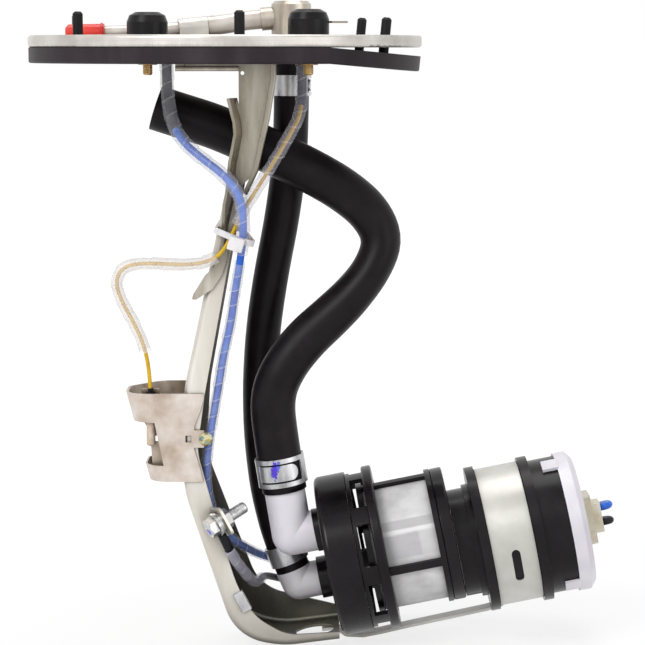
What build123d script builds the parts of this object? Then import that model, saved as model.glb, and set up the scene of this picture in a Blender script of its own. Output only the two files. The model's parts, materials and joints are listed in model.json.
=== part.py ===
"""Fuel pump module: a flange that closes the tank opening, a hanger, hoses, wires, and a pump with its filter.

Millimetres. The origin is the centre of the flange on its sealing face, +Z is up out of the tank and the
hanger reaches down. The pump lies along +X and rises a little. The front of the module faces -Y.
"""
from build123d import *
import math
import os

# Flange and gasket
FLANGE_R = 84.25
PLATE_T = 1.5
RIM_H = 5.1
RIM_W = 3.8
RIM_ROUND = 1.36
RIM_SLOPE = 0.8
HOLE_INSET = 11.25
HOLE_CIRCLE_R = FLANGE_R - HOLE_INSET
HOLE_COUNT = 6
FIRST_PEG_DEG = -83.0
BOLT_HOLE_R = 3.3
GASKET_HOLE_GAP = 0.4
PEG_R = 2.1
PEG_TOP_Z = 14.6
PEG_TIP = 0.9
PEG_SUNK = 3.2
PEG_HOLE_GAP = 0.4
GASKET_H = 6.5
GASKET_RIM_INSET = 0.2
GASKET_BAND = 16.0
GASKET_ROUND = 0.8
DROOP_START_X = 45.0
DROOP_DEG = 5.5
THROUGH = 400.0

# Outlet tower, the tube that leaves it and what holds and closes the tube
TOWER_X = 28.0
TOWER_Y = 20.0
TOWER_R = 8.7
TOWER_TOP_Z = 20.2
TOWER_CHAMFER = 1.4
TOWER_SHANK_R = 5.6
TOWER_NUT_AF = 17.0
TOWER_NUT_H = 5.0
TOWER_BORE_R = 3.0
TOWER_BARB_END_Z = -24.0
BARB_RISE = 0.35
BARB_PITCH = 4.0
BARB_COUNT = 3
BARB_SLOPE = 2.4
BARB_FIRST = 1.0
TUBE_R = 3.0
TUBE_WALL = 0.8
SLEEVE_R = 4.2
TUBE_BOSS_R = 5.0
TUBE_BOSS_LENGTH = 4.5
TUBE_END_INSET = 16.25
TUBE_ROUTE = [(-8.5, 17.5, 9.3), (-21, 15.33, 7.97), (-33, 12.9, 7.2), (-48, 11, 6.4),
              (TUBE_END_INSET - FLANGE_R, 10, 6.0)]
SLEEVE_ROUTE = [(14.8, 20, 12.3), (7, 19.6, 11.6), (-1, 18.8, 10.1), (-8.5, 17.5, 9.3)]
CAP_WALL = 0.9
CAP_LENGTH = 15.0
CAP_END_T = 1.9
CAP_END_CHAMFER = 1.3
CAP_BEAD_INSET = 1.8
CAP_BEAD_STEP = 0.4
CAP_GAP = 0.1
CAP_LIP = 0.5
CLIP_LENGTH = 12.6
CLIP_T = 1.3
CLIP_FOOT = 5.5
CLIP_INSET = 0.2

# Electrical terminals
BOOT_R = 9.6
BOOT_NECK_R = 7.6
BOOT_WALL = 1.4
BOOT_SKIRT_H = 3.0
BOOT_SKIRT_STEP = 0.9
BOOT_DOME_H = 4.2
BOOT_CROWN_W = 2.6
BOOT_CROWN_H = 1.4
BOOT_SKIRT_WALL = 2.2
TERMINALS = {"left": (-32.6, -12.0, 14.9), "right": (35.8, -20.0, 16.0)}
STUD_R = 2.0
STUD_LOW_Z = -11.6
STUD_TOP_Z = 11.0
INSULATOR_R = 6.6
INSULATOR_SHANK_R = 4.2
INSULATOR_T = 3.4
INSULATOR_TOP_T = 1.8
STUD_CHAMFER = 0.5
STUD_GAP = 0.05
LUG_T = 0.9
LUG_R = 4.1
LUG_BARREL_R = 1.7
LUG_BARREL_LENGTH = 5.3
LUG_REACH = 8.1
LUG_W = 3.4
NUT_AF = 7.0
NUT_H = 3.0
BLADE_SIZE = (8.5, 3.0, 0.8)
BLADE_Z = 10.6
BLADE_SUNK = 1.6
BLADE_HOLE_R = 0.8
BLADE_HOLE_INSET = 3.2

# Hanger: lower channel
SHEET_T = 1.2
CHANNEL_W = 36.0
CHANNEL_BEND_R = 3.2
HOLLOW_LEAD = 12.0
OPEN_REACH = 60.0
LIP_REACH = 50.0
LIP_RISE = 5.0
LIP_DROP = 0.4
CHANNEL_BACK = [(2.0, -53.0), (-18.9, -150.0), (-18.9, -190.0), (3.5, -256.5), (24.0, -260.6), (49.2, -257.4)]
CHANNEL_BACK_R = [90.0, 60.0, 22.0, 40.0]
NEAR_LIP = [(7.9, -57.2), (-8.9, -147.0), (-12.6, -173.0), (-7.3, -193.0), (3.7, -231.6), (12.0, -247.0),
            (26.0, -255.0), (49.2, -253.6)]
NEAR_LIP_R = [60.0, 22.0, 22.0, 60.0, 22.0, 18.0]
FAR_LIP = [(7.9, -57.2), (-8.4, -147.0), (-10.4, -180.0), (13.3, -242.4), (49.2, -251.0)]
FAR_LIP_R = [60.0, 40.0, 20.0]
WEB_HOLE_R = 8.6
WEB_HOLE_X = 38.4
ARM_W = 8.0
ARM_Y = 8.0
ARM_BEND_R = 5.0
ARM_LAP = (7.7, 1.2)
ARM_ROUTE = [(52.5, -260.9), (60, -261.2), (68, -259.6), (79, -257.0)]
ARM_GAP = 0.3
ARM_STEP = 0.6
ARM_RISE = (-1.5, 0.5, 5.5, 15.0)

# Hanger: upper bracket
FOOT_LIP_H = 9.9
BRACKET_DEPTH = 7.5
BRACKET_EDGE_R = 0.8
BRACKET_RIGHT = [(22.3, 0.0), (22.1, -13.0), (21.2, -18.2), (19.3, -30.0), (14.4, -52.2), (9.7, -62.3)]
PANEL_LAP = 0.9
BRACKET_END = [(13.2, -54.5), (10.7, -55.2), (7.0, -58.4)]
BRACKET_LEFT = [(5.6, -21.1), (6.8, -26.2), (8.1, -31.2), (8.5, -36.3), (7.4, -42.2), (6.1, -48.1), (5.2, -57.9),
                (4.6, -62.0), (2.0, -73.2), (0.0, -84.8), (-0.7, -91.0)]
BRACKET_SHOULDER = [(6.3, -24.3), (6.3, -FOOT_LIP_H)]
LEAN = (-2.4, -4.0)
LEAN_END_Z = (-66.0, -80.0)
HEM_W = 2.2
HEM_RISE = 0.5
TONGUE = [(1.2, -84.0), (1.2, -88.9), (-1.2, -96.2), (-5.4, -102.5), (-12.4, -107.0), (-14.2, -106.8),
          (-13.6, -104.6), (-8.4, -96.4), (-4.8, -93.2), (-2.4, -88.0), (-1.4, -84.0)]
FOOT_X = -20.4
FOOT_DEPTH = 24.0
FOOT_BEAD_R = 1.1
RELIEF_HOLE_R = 0.8

# Fastening of earth lead, guard and tie
BOLT_AF = 8.0
BOLT_HEAD_H = 3.6
BOLT_R = 2.5
BOLT_LENGTH = 16.0
BOLT_STANDS = 6.4
BOLT_HEAD_AT = (-4.6, -CHANNEL_W / 2 - BOLT_STANDS, -204.4)
BOLT_TIP = 0.6
LUG_STRAP = 1.2
LUG_CLEAR = 0.2
BOLT_DIR = (0.80, 0.42, 0.43)
EARTH_LUG_DIR = (0.45, 0.25, -1.0)
WASHER_R = 5.4
SECOND_WASHER_R = 4.9
EARTH_LUG_R = 4.4
WASHER_T = 1.0
TAB_T = 1.2
TAB_W = 13.0
TAB_ROUND = 2.0
RIVET_AT = (-8.6, -167.6)
RIVET_HEAD_R = 2.9
RIVET_SHANK_R = 1.4
RIVET_DOME = (0.5, 1.3, 1.5)
RIVET_TAIL_R = 2.1
RIVET_TAIL_H = 0.8

# Sensor guard
GUARD_T = 0.9
GUARD_TOP_Z = -147.5
GUARD_BOTTOM_Z = -186.5
GUARD_NOSE_TOP_X = -43.8
GUARD_NOSE_BOTTOM_X = -33.6
GUARD_NOSE_R = 9.0
GUARD_TURN_R = (5.0, 12.0)
GUARD_TURN_Y = 3.0
GUARD_CHAMFER_X = 13.0
GUARD_BACK_GAP = 0.05
GUARD_TOP_CUT = 0.4
GUARD_WINDOW_LEAN = (-1.6, 2.2)
GUARD_WINDOW_Y = 12.0
GUARD_EDGE = [(0.4, -148.5), (-1.2, -154), (-4.2, -162), (-4.4, -172), (-2.0, -180), (-0.5, -186.6)]
GUARD_EDGE_DEPTH = 5.0
GUARD_TAB = (-9.9, -0.9, 7.6)
GUARD_TAB_SLOT = (7.6, 2.6, 3.0)
GUARD_RIGHT_X = -9.4
GUARD_WINDOW_Z = (-179.5, -160.5)
GUARD_WINDOW_X = -29.2

# Level sensor on its holder
SENSOR_X = -32.6
SENSOR_INSET = 2.6
SENSOR_Y = SENSOR_INSET - CHANNEL_W / 2
SENSOR_TOP_Z = -157.6
SENSOR_LOW_Z = -171.5
SENSOR_BEAD_R = 1.9
SENSOR_TAPER = (0.7, 0.8)
HOLDER_T = 1.0
HOLDER_STAND_OFF = 2.0
HOLDER = [(-4.2, -146.4), (3.6, -146.4), (3.6, -160), (4.6, -165), (5.4, -183.5), (0.6, -183.5), (-0.6, -165),
          (-3.2, -161)]
HOLDER_HOLE_AT = (2.2, -168.4)
HOLDER_HOLE_R = 1.3
HOLDER_FOOT_Z = -181.8
HOLDER_FOOT_H = 3.0
GROMMET_R = 1.9
GROMMET_GAP = 0.25
GROMMET_Z = (-153.4, -147.4, -145.8)

# Hoses
RETURN_HOSE_R = 9.75
RETURN_HOSE_BORE_R = 6.4
RETURN_HOSE_ROUTE = [(-30.3, 1, -25.8), (-18.5, 1, -29.6), (-5.5, 1, -33.6), (9, 1, -39.8), (24, 0.5, -46.9),
                     (38.5, 0, -54), (51.5, -0.5, -61.6), (62.5, -1.5, -70.8), (68.2, -2.5, -82.5),
                     (63.8, -4, -94.8), (55.2, -5.5, -106), (45.6, -7, -115.4), (34.5, -8.5, -125.2),
                     (24.8, -9.5, -137.4), (19.4, -9.6, -151), (21.6, -9, -170.5), (25.1, -9, -192.0)]
DELIVERY_HOSE_R = 7.75
DELIVERY_HOSE_BORE_R = 4.8
DELIVERY_HOSE_ROUTE = [(28, 20, -7.0), (28, 20, -26), (27.2, 19.6, -50), (23.6, 19.4, -76), (18.8, 19.2, -100),
                       (15.2, 18.6, -124), (13.6, 17.8, -148), (14, 16.4, -172), (16.8, 14.6, -196),
                       (21.8, 12.6, -216), (28.4, 12, -232.4)]
CLAMP_T = 0.8
CLAMP_GAP = 0.3
RETURN_CLAMP_W = 12.5
DELIVERY_CLAMP_W = 9.0
CLAMP_WINDOW_DEG = (-58.0, 58.0)
CLAMP_WINDOW_SHARE = 0.68
CLAMP_TONGUE_DEG = (-66.0, 26.0)
CLAMP_TONGUE_SHARE = 0.56
CLAMP_TONGUE_T = 0.6
RETURN_CLAMP_AT = 3.0
UPPER_CLAMP_AT = 5.0
LOWER_CLAMP_AT = 3.4

# Canister: two parallel axes, the cap and cage on the upper one and the pump on the lower one
CANISTER_AT = (44.3, 0.0, -224.2)
CANISTER_DEG = 11.4
PUMP_DROP = 5.3
FILTER_CAP_R = 35.5
FILTER_CAP_L = 13.9
FILTER_CAP_WALL = 2.2
FILTER_CAP_ROUND = 2.4
RETURN_PORT = (15.0, 9.0)
DELIVERY_PORT = (-11.6, -12.0)
RETURN_PORT_L = 3.0
DELIVERY_PORT_L = 6.3
PORT_R = 9.4
PORT_BORE_R = 4.6
PORT_SEAL_R = 0.8
CAP_SEAL_R = 1.1
FILTER_CAP_FACE_T = 2.6
WINDOW_WALL_R = 34.4
LOCK_RING_S = (14.2, 21.6, 26.0)
LOCK_RING_R = 36.3
WINDOW_COUNT = 8
WINDOW_DEG = 31.0
WINDOW_FIRST_DEG = 74.0
WINDOW_WALL_T = 2.0
WINDOW_INSET = (1.2, 0.4)
WINDOW_SHIFT = 0.4
LOCK_RING_ROUND = 0.9
LOCK_RING_GAP = 0.1
CAGE_R = 29.6
CAGE_S = (18.0, 51.1)
CAGE_HOOP_W = 2.4
CAGE_RIB_W = 3.4
CAGE_RIB_COUNT = 4
CAGE_RIB_FIRST_DEG = 100.0
CAGE_FLOOR_T = 1.6
CAGE_FLOOR_R = 20.2
CAGE_FLOOR_GAP = 0.3
MESH_GAP = 0.05
MESH_END_GAP = 0.1
CAGE_WALL = 1.8
MESH_T = 0.5
END_RING_S = (51.1, 56.6)
END_RING_R = 29.4
END_RING_ROUND = 0.8
NECK_R = 23.7
HOUSING_S = {"neck": 56.9, "lip": 63.8, "flange": 66.4, "drum": 70.4, "rear": 90.0, "tail": 94.2, "end": 106.0}
HOUSING_LIP_R = 25.0
HOUSING_FLANGE_R = 32.1
HOUSING_DRUM_R = 29.7
HOUSING_BORE_R = 21.6
HOUSING_WALL = 2.4
SLEEVE_AT = 6.0
SLEEVE_LENGTH = 8.0
SLEEVE_HOLE_R = 2.6
SLEEVE_HOLE_COUNT = 6
SLEEVE_HOLE_INSET = 4.0
BAND_T = 0.8
BAND_GAP = 0.05
BAND_SLOT = (3.6, 15.0)
BAND_SLOT_S = 86.0
BAND_SLOT_TURN_DEG = 65.0
BAND_EDGE_GAP = 0.4
END_CAP_STEP = 1.1
END_CAP_R = HOUSING_DRUM_R + END_CAP_STEP
END_CAP_L = 7.6
END_CAP_WALL = 2.0
CAP_SEAT_GAP = 0.1
HOOK_COUNT = 3
HOOK_SIZE = (1.4, 7.0, 7.0)
HOOK_INSET = 3.0
HOOK_FIRST_DEG = 140.0
END_CAP_CHAMFER = (3.0, 2.4)
END_SLOT = (15.0, 12.0, 3.2)
END_SLOT_COUNT = 6
CONNECTOR_ROUND = 1.6
CONNECTOR_PLUG_GAP = 0.15
CONNECTOR_PLUG_L = 3.2
CONNECTOR_SIZE = (22.0, 14.0, 4.6)
CONNECTOR_STEP = (13.0, 10.0, 3.8)

# Elbows between hoses and cap
RETURN_ELBOW_R = 8.9
RETURN_ELBOW_LEG = 10.2
DELIVERY_ELBOW_R = 8.0
DELIVERY_ELBOW_LEG = 9.4
NIPPLE_GAP = 0.3
NIPPLE_L = 13.0
RETURN_ELBOW_BORE_R = 3.4
DELIVERY_ELBOW_BORE_R = 2.8
SPIGOT_GAP = 0.1
SPIGOT_OUT = 0.6
SEAL_GAP = 0.02
SEAL_GROOVE_GAP = 0.05
CAP_SEAL_INSET = 2.4

# Pump
CAN_R = 19.0
CAN_T = 0.8
CAN_S = (22.0, 98.0)
SHAFT_R = 1.6
SHAFT_S = (21.6, 96.4)
RUNNING_GAP = 0.03
ASSEMBLY_GAP = 0.05
BUSH_R = 3.2
BUSH_L = 4.6
BUSH_END_GAP = (0.1, 0.2)
ARMATURE_R = 13.2
ARMATURE_S = (36.0, 70.0)
ARMATURE_SLOTS = 8
SLOT_W = 1.6
SLOT_DEPTH = 4.7
POCKET_R = 2.1
POCKET_INSET = 4.2
MAGNET_IN_R = 13.9
MAGNET_S = (34.0, 71.0)
MAGNET_DEG = 130.0
COMMUTATOR_R = 5.4
COMMUTATOR_S = (73.0, 80.0)
COMMUTATOR_CUT = (0.8, 0.6)
BRUSH_SIZE = (6.0, 4.0, 4.6)
BRUSH_HOLDER_S = (72.0, 83.5)
BRUSH_HOLDER_GAP = 1.0
BRUSH_GAP = 0.1
BRUSH_POCKET = (11.4, 12.4)
BRUSH_SPRING_END = 12.0
BRUSH_SPRING_R = 1.5
NOZZLE_R = 5.6
NOZZLE_S = 6.0
OUTLET_PLATE_S = (18.0, 27.0)
OUTLET_SHOULDER = 1.4
DISCHARGE_PLATE_S = (83.9, 89.0)
DISCHARGE_PORT = (13.0, 1.8)
IMPELLER_S = (89.4, 92.6)
IMPELLER_R = 16.4
BLADE_COUNT = 24
BLADE_GAP_SIZE = (2.6, 1.7)
INLET_PLATE_S = (93.0, 98.0)
INLET_NOZZLE_S = 101.5
INLET_NOZZLE_R = 4.2
INLET_AT_R = 12.6
INLET_BORE_R = 2.6
WHEEL_GAP = 0.3
VALVE_BORE_R = 3.4
VALVE_R = 3.1
VALVE_SEAT_R = 2.0
VALVE_STEM_R = 1.0
VALVE_GAP = 0.1
VALVE_TRAVEL = 1.2
VALVE_HEAD_L = 3.6
VALVE_CONE_L = 1.4
VALVE_CONE_R = 1.6
VALVE_STEM_L = 3.0
VALVE_SPRING_R = 2.0
GUIDE_HOLE_R = 0.8
GUIDE_HOLE_COUNT = 3
SEAT_S = 16.0
GUIDE_T = 1.0
CHANNEL_S = 19.6
CHANNEL_R = 1.1
CHANNEL_REACH = 8.6
BUSH_S = 21.4
SPRING_WIRE = 0.6
RELIEF_AT_R = 11.5
RELIEF_BORE_R = 2.4
RELIEF_PORT_R = 1.2
RELIEF_SEAT_S = 25.0
RELIEF_LIP_R = 1.6
RELIEF_LIP_T = 0.7
RELIEF_GAP = 0.1
RELIEF_BALL_R = 1.9
RELIEF_TRAVEL = 0.8
SMALL_SPRING_WIRE = 0.5
RELIEF_SPRING_R = 1.7

# Wires and their clear wrap
LEAD_WIRE_R = 0.85
PUMP_LEAD_R = 1.6
PUMP_WRAP_GAP = 0.4
SUPPLY_WRAP_R = 3.1
PUMP_WRAP_R = 2.5
SENDER_WRAP_R = 2.7
SENDER_WRAP_GAP = 0.75
BEND_SHARE = 0.45
LUG_RUN = 5.9
LUG_TURN_DEG = {"left": 0.0, "right": 110.0}
PIN_AT = (3.0, 1.5)
PIN_RUN = 3.7
FRONT = -CHANNEL_W / 2
SUPPLY_ROUTE = [(-23.8, -13.6, -23.2), (-22, -16.4, -32), (-17.6, FRONT - 2.4, -39.4), (-9.6, FRONT - 6.4, -46),
                (1, FRONT - 9.6, -53.6), (7.6, FRONT - 10.6, -62.6), (8.4, FRONT - 10, -73), (8, FRONT - 8.8, -81),
                (6.4, FRONT - 4.6, -92), (4.2, FRONT + 1, -104), (2.2, FRONT + 4, -118), (-1.2, FRONT + 5, -132),
                (-3.4, FRONT + 5, -146), (-6, FRONT + 5.4, -160), (-8.3, FRONT + 6, -174),
                (-9.4, FRONT + 7.6, -188), (-7.2, -8.4, -202),
                (-0.5, -4, -214), (7, 5, -221), (12.6, 16, -227), (22, 26.5, -232.5), (35, 34, -239),
                (51, 39, -243), (72, 41.4, -240.4), (95, 41.6, -233.6), (118, 41, -226.6), (139, 39.8, -219.6),
                (152, 38.6, -215), (161, 34.5, -211), (166.4, 27.5, -207.6), (168.6, 20, -205),
                (169.4, 12.5, -202.9), (169.6, 5.4, -201.6)]
SUPPLY_WRAP_RUNS = (0, 9)
PUMP_WRAP_RUNS = (10, 18)
SENDER_ROUTE = [(32.9, -13.2, -22.5), (32, -14.8, -29), (27.6, -17.9, -37), (21.4, FRONT - 3, -47.6),
                (14.4, FRONT - 4.2, -58.6), (7.6, FRONT - 4.3, -69.4), (3.4, FRONT - 4.4, -78.5)]
SENDER_WRAP_RUNS = (0, 7)
SENSOR_ROUTE = [(3.4, FRONT - 4.4, -78.5), (0.04, FRONT - 4.48, -85.78), (-6.6, FRONT - 5.4, -90.2),
                (-15.6, FRONT - 6, -91.5), (-25.6, FRONT - 6.6, -91), (-35.4, FRONT - 6.8, -90.6),
                (-43.4, FRONT - 6.4, -92.4), (-46.4, FRONT - 5.8, -99), (-44, FRONT - 4.8, -107),
                (-39.2, FRONT - 3.6, -116), (-35.6, FRONT - 1.6, -124.6), (-33.5, FRONT + 0.8, -133.4),
                (SENSOR_X, SENSOR_Y, -145.6), (SENSOR_X, SENSOR_Y, SENSOR_TOP_Z)]
SENSOR_WRAP_RUNS = (1, 10)
EARTH_RUN = 4.8
EARTH_ROUTE = [(5.4, -15.2, -224.4), (8.6, -8.8, -230.9), (11.2, -1.5, -235.6),
               (13.4, 7, -237), (15.2, 17, -237), (20.4, 26.8, -240.6), (33, 35, -246), (50, 40.6, -250.4),
               (71, 43, -247.6), (94, 43.2, -240.8), (117, 42.6, -233.8), (139, 41.6, -227), (151, 40, -222.4),
               (159.4, 36.8, -218.6), (165.6, 30.6, -215.8), (168.4, 21.5, -212.6), (169.4, 12, -210),
               (169.8, 4, -208.2)]
EARTH_WRAP_RUNS = (1, 5)

# Cable tie and wire clip
TIE_STANDS = 5.6
TIE_AT = (3.6, -CHANNEL_W / 2 - TIE_STANDS, -79.4)
TIE_GAP = 0.2
TIE_BACK = CHANNEL_W / 2 + TIE_GAP - TIE_AT[1]
TIE_LOOP = [(-7.3, TIE_BACK), (1.8, TIE_BACK), (8.6, -2.0), (8.6, -5.0), (6.8, -7.0), (2.6, -7.0), (-7.3, 3.6)]
TIE_CORNER_R = 0.8
TIE_T = 1.1
TIE_W = 2.6
TIE_TILT_DEG = 17.0
TIE_HEAD = (6.6, 3.4, 6.0)
TIE_HEAD_AT = (2.4, 0.4, -1.8)
TIE_HEAD_ROUND = 0.6
WIRE_CLIP_LENGTH = 9.0
WIRE_CLIP_DEPTH = 4.2
WIRE_CLIP_T = 0.9


def save(name, shape):
    """Writes one piece, or a group of like pieces, under its node's name."""
    export_step(Compound(children=list(shape.solids())), f"parts/{name}.step")


def turned(points):
    """Solid of revolution about Z from a list of (radius, height)."""
    outline = Polyline(*[(r, 0, z) for r, z in points], close=True)
    return revolve(make_face(outline), Axis.Z, 360)


def tube(r_out, r_in, low, high):
    """Plain ring about Z."""
    ring = Pos(0, 0, (low + high) / 2) * Cylinder(r_out, high - low)
    if r_in > 0:
        ring -= Pos(0, 0, (low + high) / 2) * Cylinder(r_in, high - low + 2)
    return ring


def rod(start, end, radius):
    """Round bar between two points."""
    a, b = Vector(*start), Vector(*end)
    return Plane(origin=(a + b) / 2, z_dir=b - a) * Cylinder(radius, (b - a).length)


def hexagon(across_flats, height):
    """Hexagonal prism standing on z = 0."""
    return extrude(RegularPolygon(across_flats / 2, 6, major_radius=False), height)


def bend_radii(points):
    """Radius at each inner point: as large as its two runs allow."""
    corners = [Vector(*p) for p in points]
    radii = []
    for a, b, c in zip(corners, corners[1:], corners[2:]):
        half_turn = math.radians((b - a).get_angle(c - b)) / 2
        radii.append(BEND_SHARE * min((b - a).length, (c - b).length) / math.tan(half_turn))
    return radii


def hose(name, points, r_out, r_in, radii=None):
    """Tube along straight runs and tangent arcs. Prints its radii and compares its volume."""
    radii = radii or bend_radii(points)
    path = FilletPolyline(*points, radius=radii)
    section = Plane(origin=path @ 0, z_dir=path % 0) * Circle(r_out)
    if r_in > 0:
        section -= Plane(origin=path @ 0, z_dir=path % 0) * Circle(r_in)
    body = sweep(section, path)
    expected = math.pi * (r_out ** 2 - r_in ** 2) * path.length
    print(name, "radii", [round(r, 1) for r in radii], "length", round(path.length, 1),
          "volume ratio", round(body.volume / expected, 4))
    return body


def place(plan, low, high):
    """Extrudes a face that lies in the XZ plane from y = low to y = high."""
    return Pos(0, low, 0) * extrude(plan, high - low, dir=(0, 1, 0))


def offset_path(points, radii, distance):
    """The same open path, moved sideways by distance, to the left when seen with +X right and +Z up."""
    sides = []
    for (x0, z0), (x1, z1) in zip(points, points[1:]):
        length = math.hypot(x1 - x0, z1 - z0)
        nx, nz = -(z1 - z0) / length, (x1 - x0) / length
        sides.append(((x0 + nx * distance, z0 + nz * distance), ((x1 - x0) / length, (z1 - z0) / length)))
    moved, new_radii = [sides[0][0]], []
    for index in range(1, len(sides)):
        (ax, az), (adx, adz) = sides[index - 1]
        (bx, bz), (bdx, bdz) = sides[index]
        cross = adx * bdz - adz * bdx
        along = ((bx - ax) * bdz - (bz - az) * bdx) / cross
        moved.append((ax + adx * along, az + adz * along))
        new_radii.append(radii[index - 1] - math.copysign(distance, cross))
    (lx, lz), (ldx, ldz) = sides[-1]
    last = math.hypot(points[-1][0] - points[-2][0], points[-1][1] - points[-2][1])
    moved.append((lx + ldx * last, lz + ldz * last))
    return moved, new_radii


def in_xz(points):
    """Points of an outline in the XZ plane."""
    return [(x, 0, z) for x, z in points]


def region(back, back_radii, lip, lip_radii):
    """Face in the XZ plane between a back line and a lip line that both run downwards."""
    edges = FilletPolyline(*in_xz(back), radius=back_radii).edges()
    edges += FilletPolyline(*in_xz(lip), radius=lip_radii).edges()
    edges += [Line((back[0][0], 0, back[0][1]), (lip[0][0], 0, lip[0][1])).edge(),
              Line((back[-1][0], 0, back[-1][1]), (lip[-1][0], 0, lip[-1][1])).edge()]
    return make_face(edges)


# The canister's frames: local Z runs along its axis to the right, local X is up, local Y is to the front
TILT = math.radians(CANISTER_DEG)
AXIS = Vector(math.cos(TILT), 0, math.sin(TILT))
UPWARD = Vector(-math.sin(TILT), 0, math.cos(TILT))
FILTER_PLANE = Plane(origin=CANISTER_AT, x_dir=UPWARD, z_dir=AXIS)
PUMP_PLANE = Plane(origin=Vector(*CANISTER_AT) - UPWARD * PUMP_DROP, x_dir=UPWARD, z_dir=AXIS)


def make_flange():
    """Flange plate with its rim and holes, the gasket, and the pegs that hold it to the flange."""
    plate = turned([(0, 0), (FLANGE_R, 0), (FLANGE_R, RIM_H), (FLANGE_R - RIM_W, RIM_H),
                    (FLANGE_R - RIM_W - RIM_SLOPE, PLATE_T), (0, PLATE_T)])
    rim_edges = [e for e in plate.edges().filter_by(GeomType.CIRCLE) if e.radius > FLANGE_R - 0.01]
    rim_edges += [e for e in plate.edges().filter_by(GeomType.CIRCLE)
                  if abs(e.radius - FLANGE_R + RIM_W) < 0.01]
    plate = fillet(rim_edges, RIM_ROUND)
    for index in range(HOLE_COUNT):
        peg_turn = Rot(0, 0, FIRST_PEG_DEG + index * 360 / HOLE_COUNT)
        bolt_turn = Rot(0, 0, FIRST_PEG_DEG + (index + 0.5) * 360 / HOLE_COUNT)
        plate -= peg_turn * Pos(HOLE_CIRCLE_R, 0, 0) * Cylinder(PEG_R + PEG_HOLE_GAP, 3 * RIM_H)
        plate -= bolt_turn * Pos(HOLE_CIRCLE_R, 0, 0) * Cylinder(BOLT_HOLE_R, 3 * RIM_H)
    plate -= Pos(TOWER_X, TOWER_Y, 0) * Cylinder(TOWER_SHANK_R + ASSEMBLY_GAP, 3 * RIM_H)
    for x, y, _ in TERMINALS.values():
        plate -= Pos(x, y, 0) * Cylinder(INSULATOR_SHANK_R + ASSEMBLY_GAP, 3 * RIM_H)
    save("mounting_flange", plate)

    outer = FLANGE_R - GASKET_RIM_INSET
    ring = tube(outer, outer - GASKET_BAND, -GASKET_H, 0)
    low_edges = [e for e in ring.edges().filter_by(GeomType.CIRCLE)
                 if e.radius > outer - 0.01 and e.center().Z < -GASKET_H / 2]
    ring = fillet(low_edges, GASKET_ROUND)
    beyond = Pos(THROUGH / 2, 0, 0) * Box(THROUGH, THROUGH, THROUGH)
    fold = Pos(DROOP_START_X, 0, 0)
    level = ring - fold * Rot(0, DROOP_DEG / 2, 0) * beyond
    hanging = ring & (fold * Rot(0, -DROOP_DEG / 2, 0) * beyond)
    peg_shape = turned([(0, -PEG_SUNK), (PEG_R, -PEG_SUNK), (PEG_R, PEG_TOP_Z - PEG_TIP),
                        (PEG_R - PEG_TIP, PEG_TOP_Z), (0, PEG_TOP_Z)])
    pocket = tube(PEG_R + ASSEMBLY_GAP, 0, -PEG_SUNK, PEG_TOP_Z)
    droop = fold * Rot(0, DROOP_DEG, 0) * fold.inverse()
    pegs = []
    for index in range(HOLE_COUNT):
        peg_turn = Rot(0, 0, FIRST_PEG_DEG + index * 360 / HOLE_COUNT) * Pos(HOLE_CIRCLE_R, 0, 0)
        peg = peg_turn * peg_shape
        if peg.center().X < DROOP_START_X:
            level -= peg_turn * pocket
            pegs.append(peg)
        else:
            hanging -= peg_turn * pocket
            pegs.append(droop * peg)
    gasket = level + droop * hanging
    for index in range(HOLE_COUNT):
        bolt_turn = Rot(0, 0, FIRST_PEG_DEG + (index + 0.5) * 360 / HOLE_COUNT)
        gasket -= bolt_turn * Pos(HOLE_CIRCLE_R, 0, 0) * Cylinder(BOLT_HOLE_R + GASKET_HOLE_GAP, THROUGH)
    save("flange_gasket", gasket)
    save("gasket_pegs", Compound(children=pegs))


def barbed(r_core, low, high, sign):
    """Hose nipple about Z with barbs. The barbs' slopes face the free end, at low or at high."""
    body = tube(r_core, 0, low, high)
    for index in range(BARB_COUNT):
        tip = (low if sign < 0 else high) - sign * (BARB_FIRST + index * BARB_PITCH)
        root = tip - sign * BARB_SLOPE
        body += turned([(0, tip), (r_core, tip), (r_core + BARB_RISE, root), (0, root)])
    return body


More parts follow.
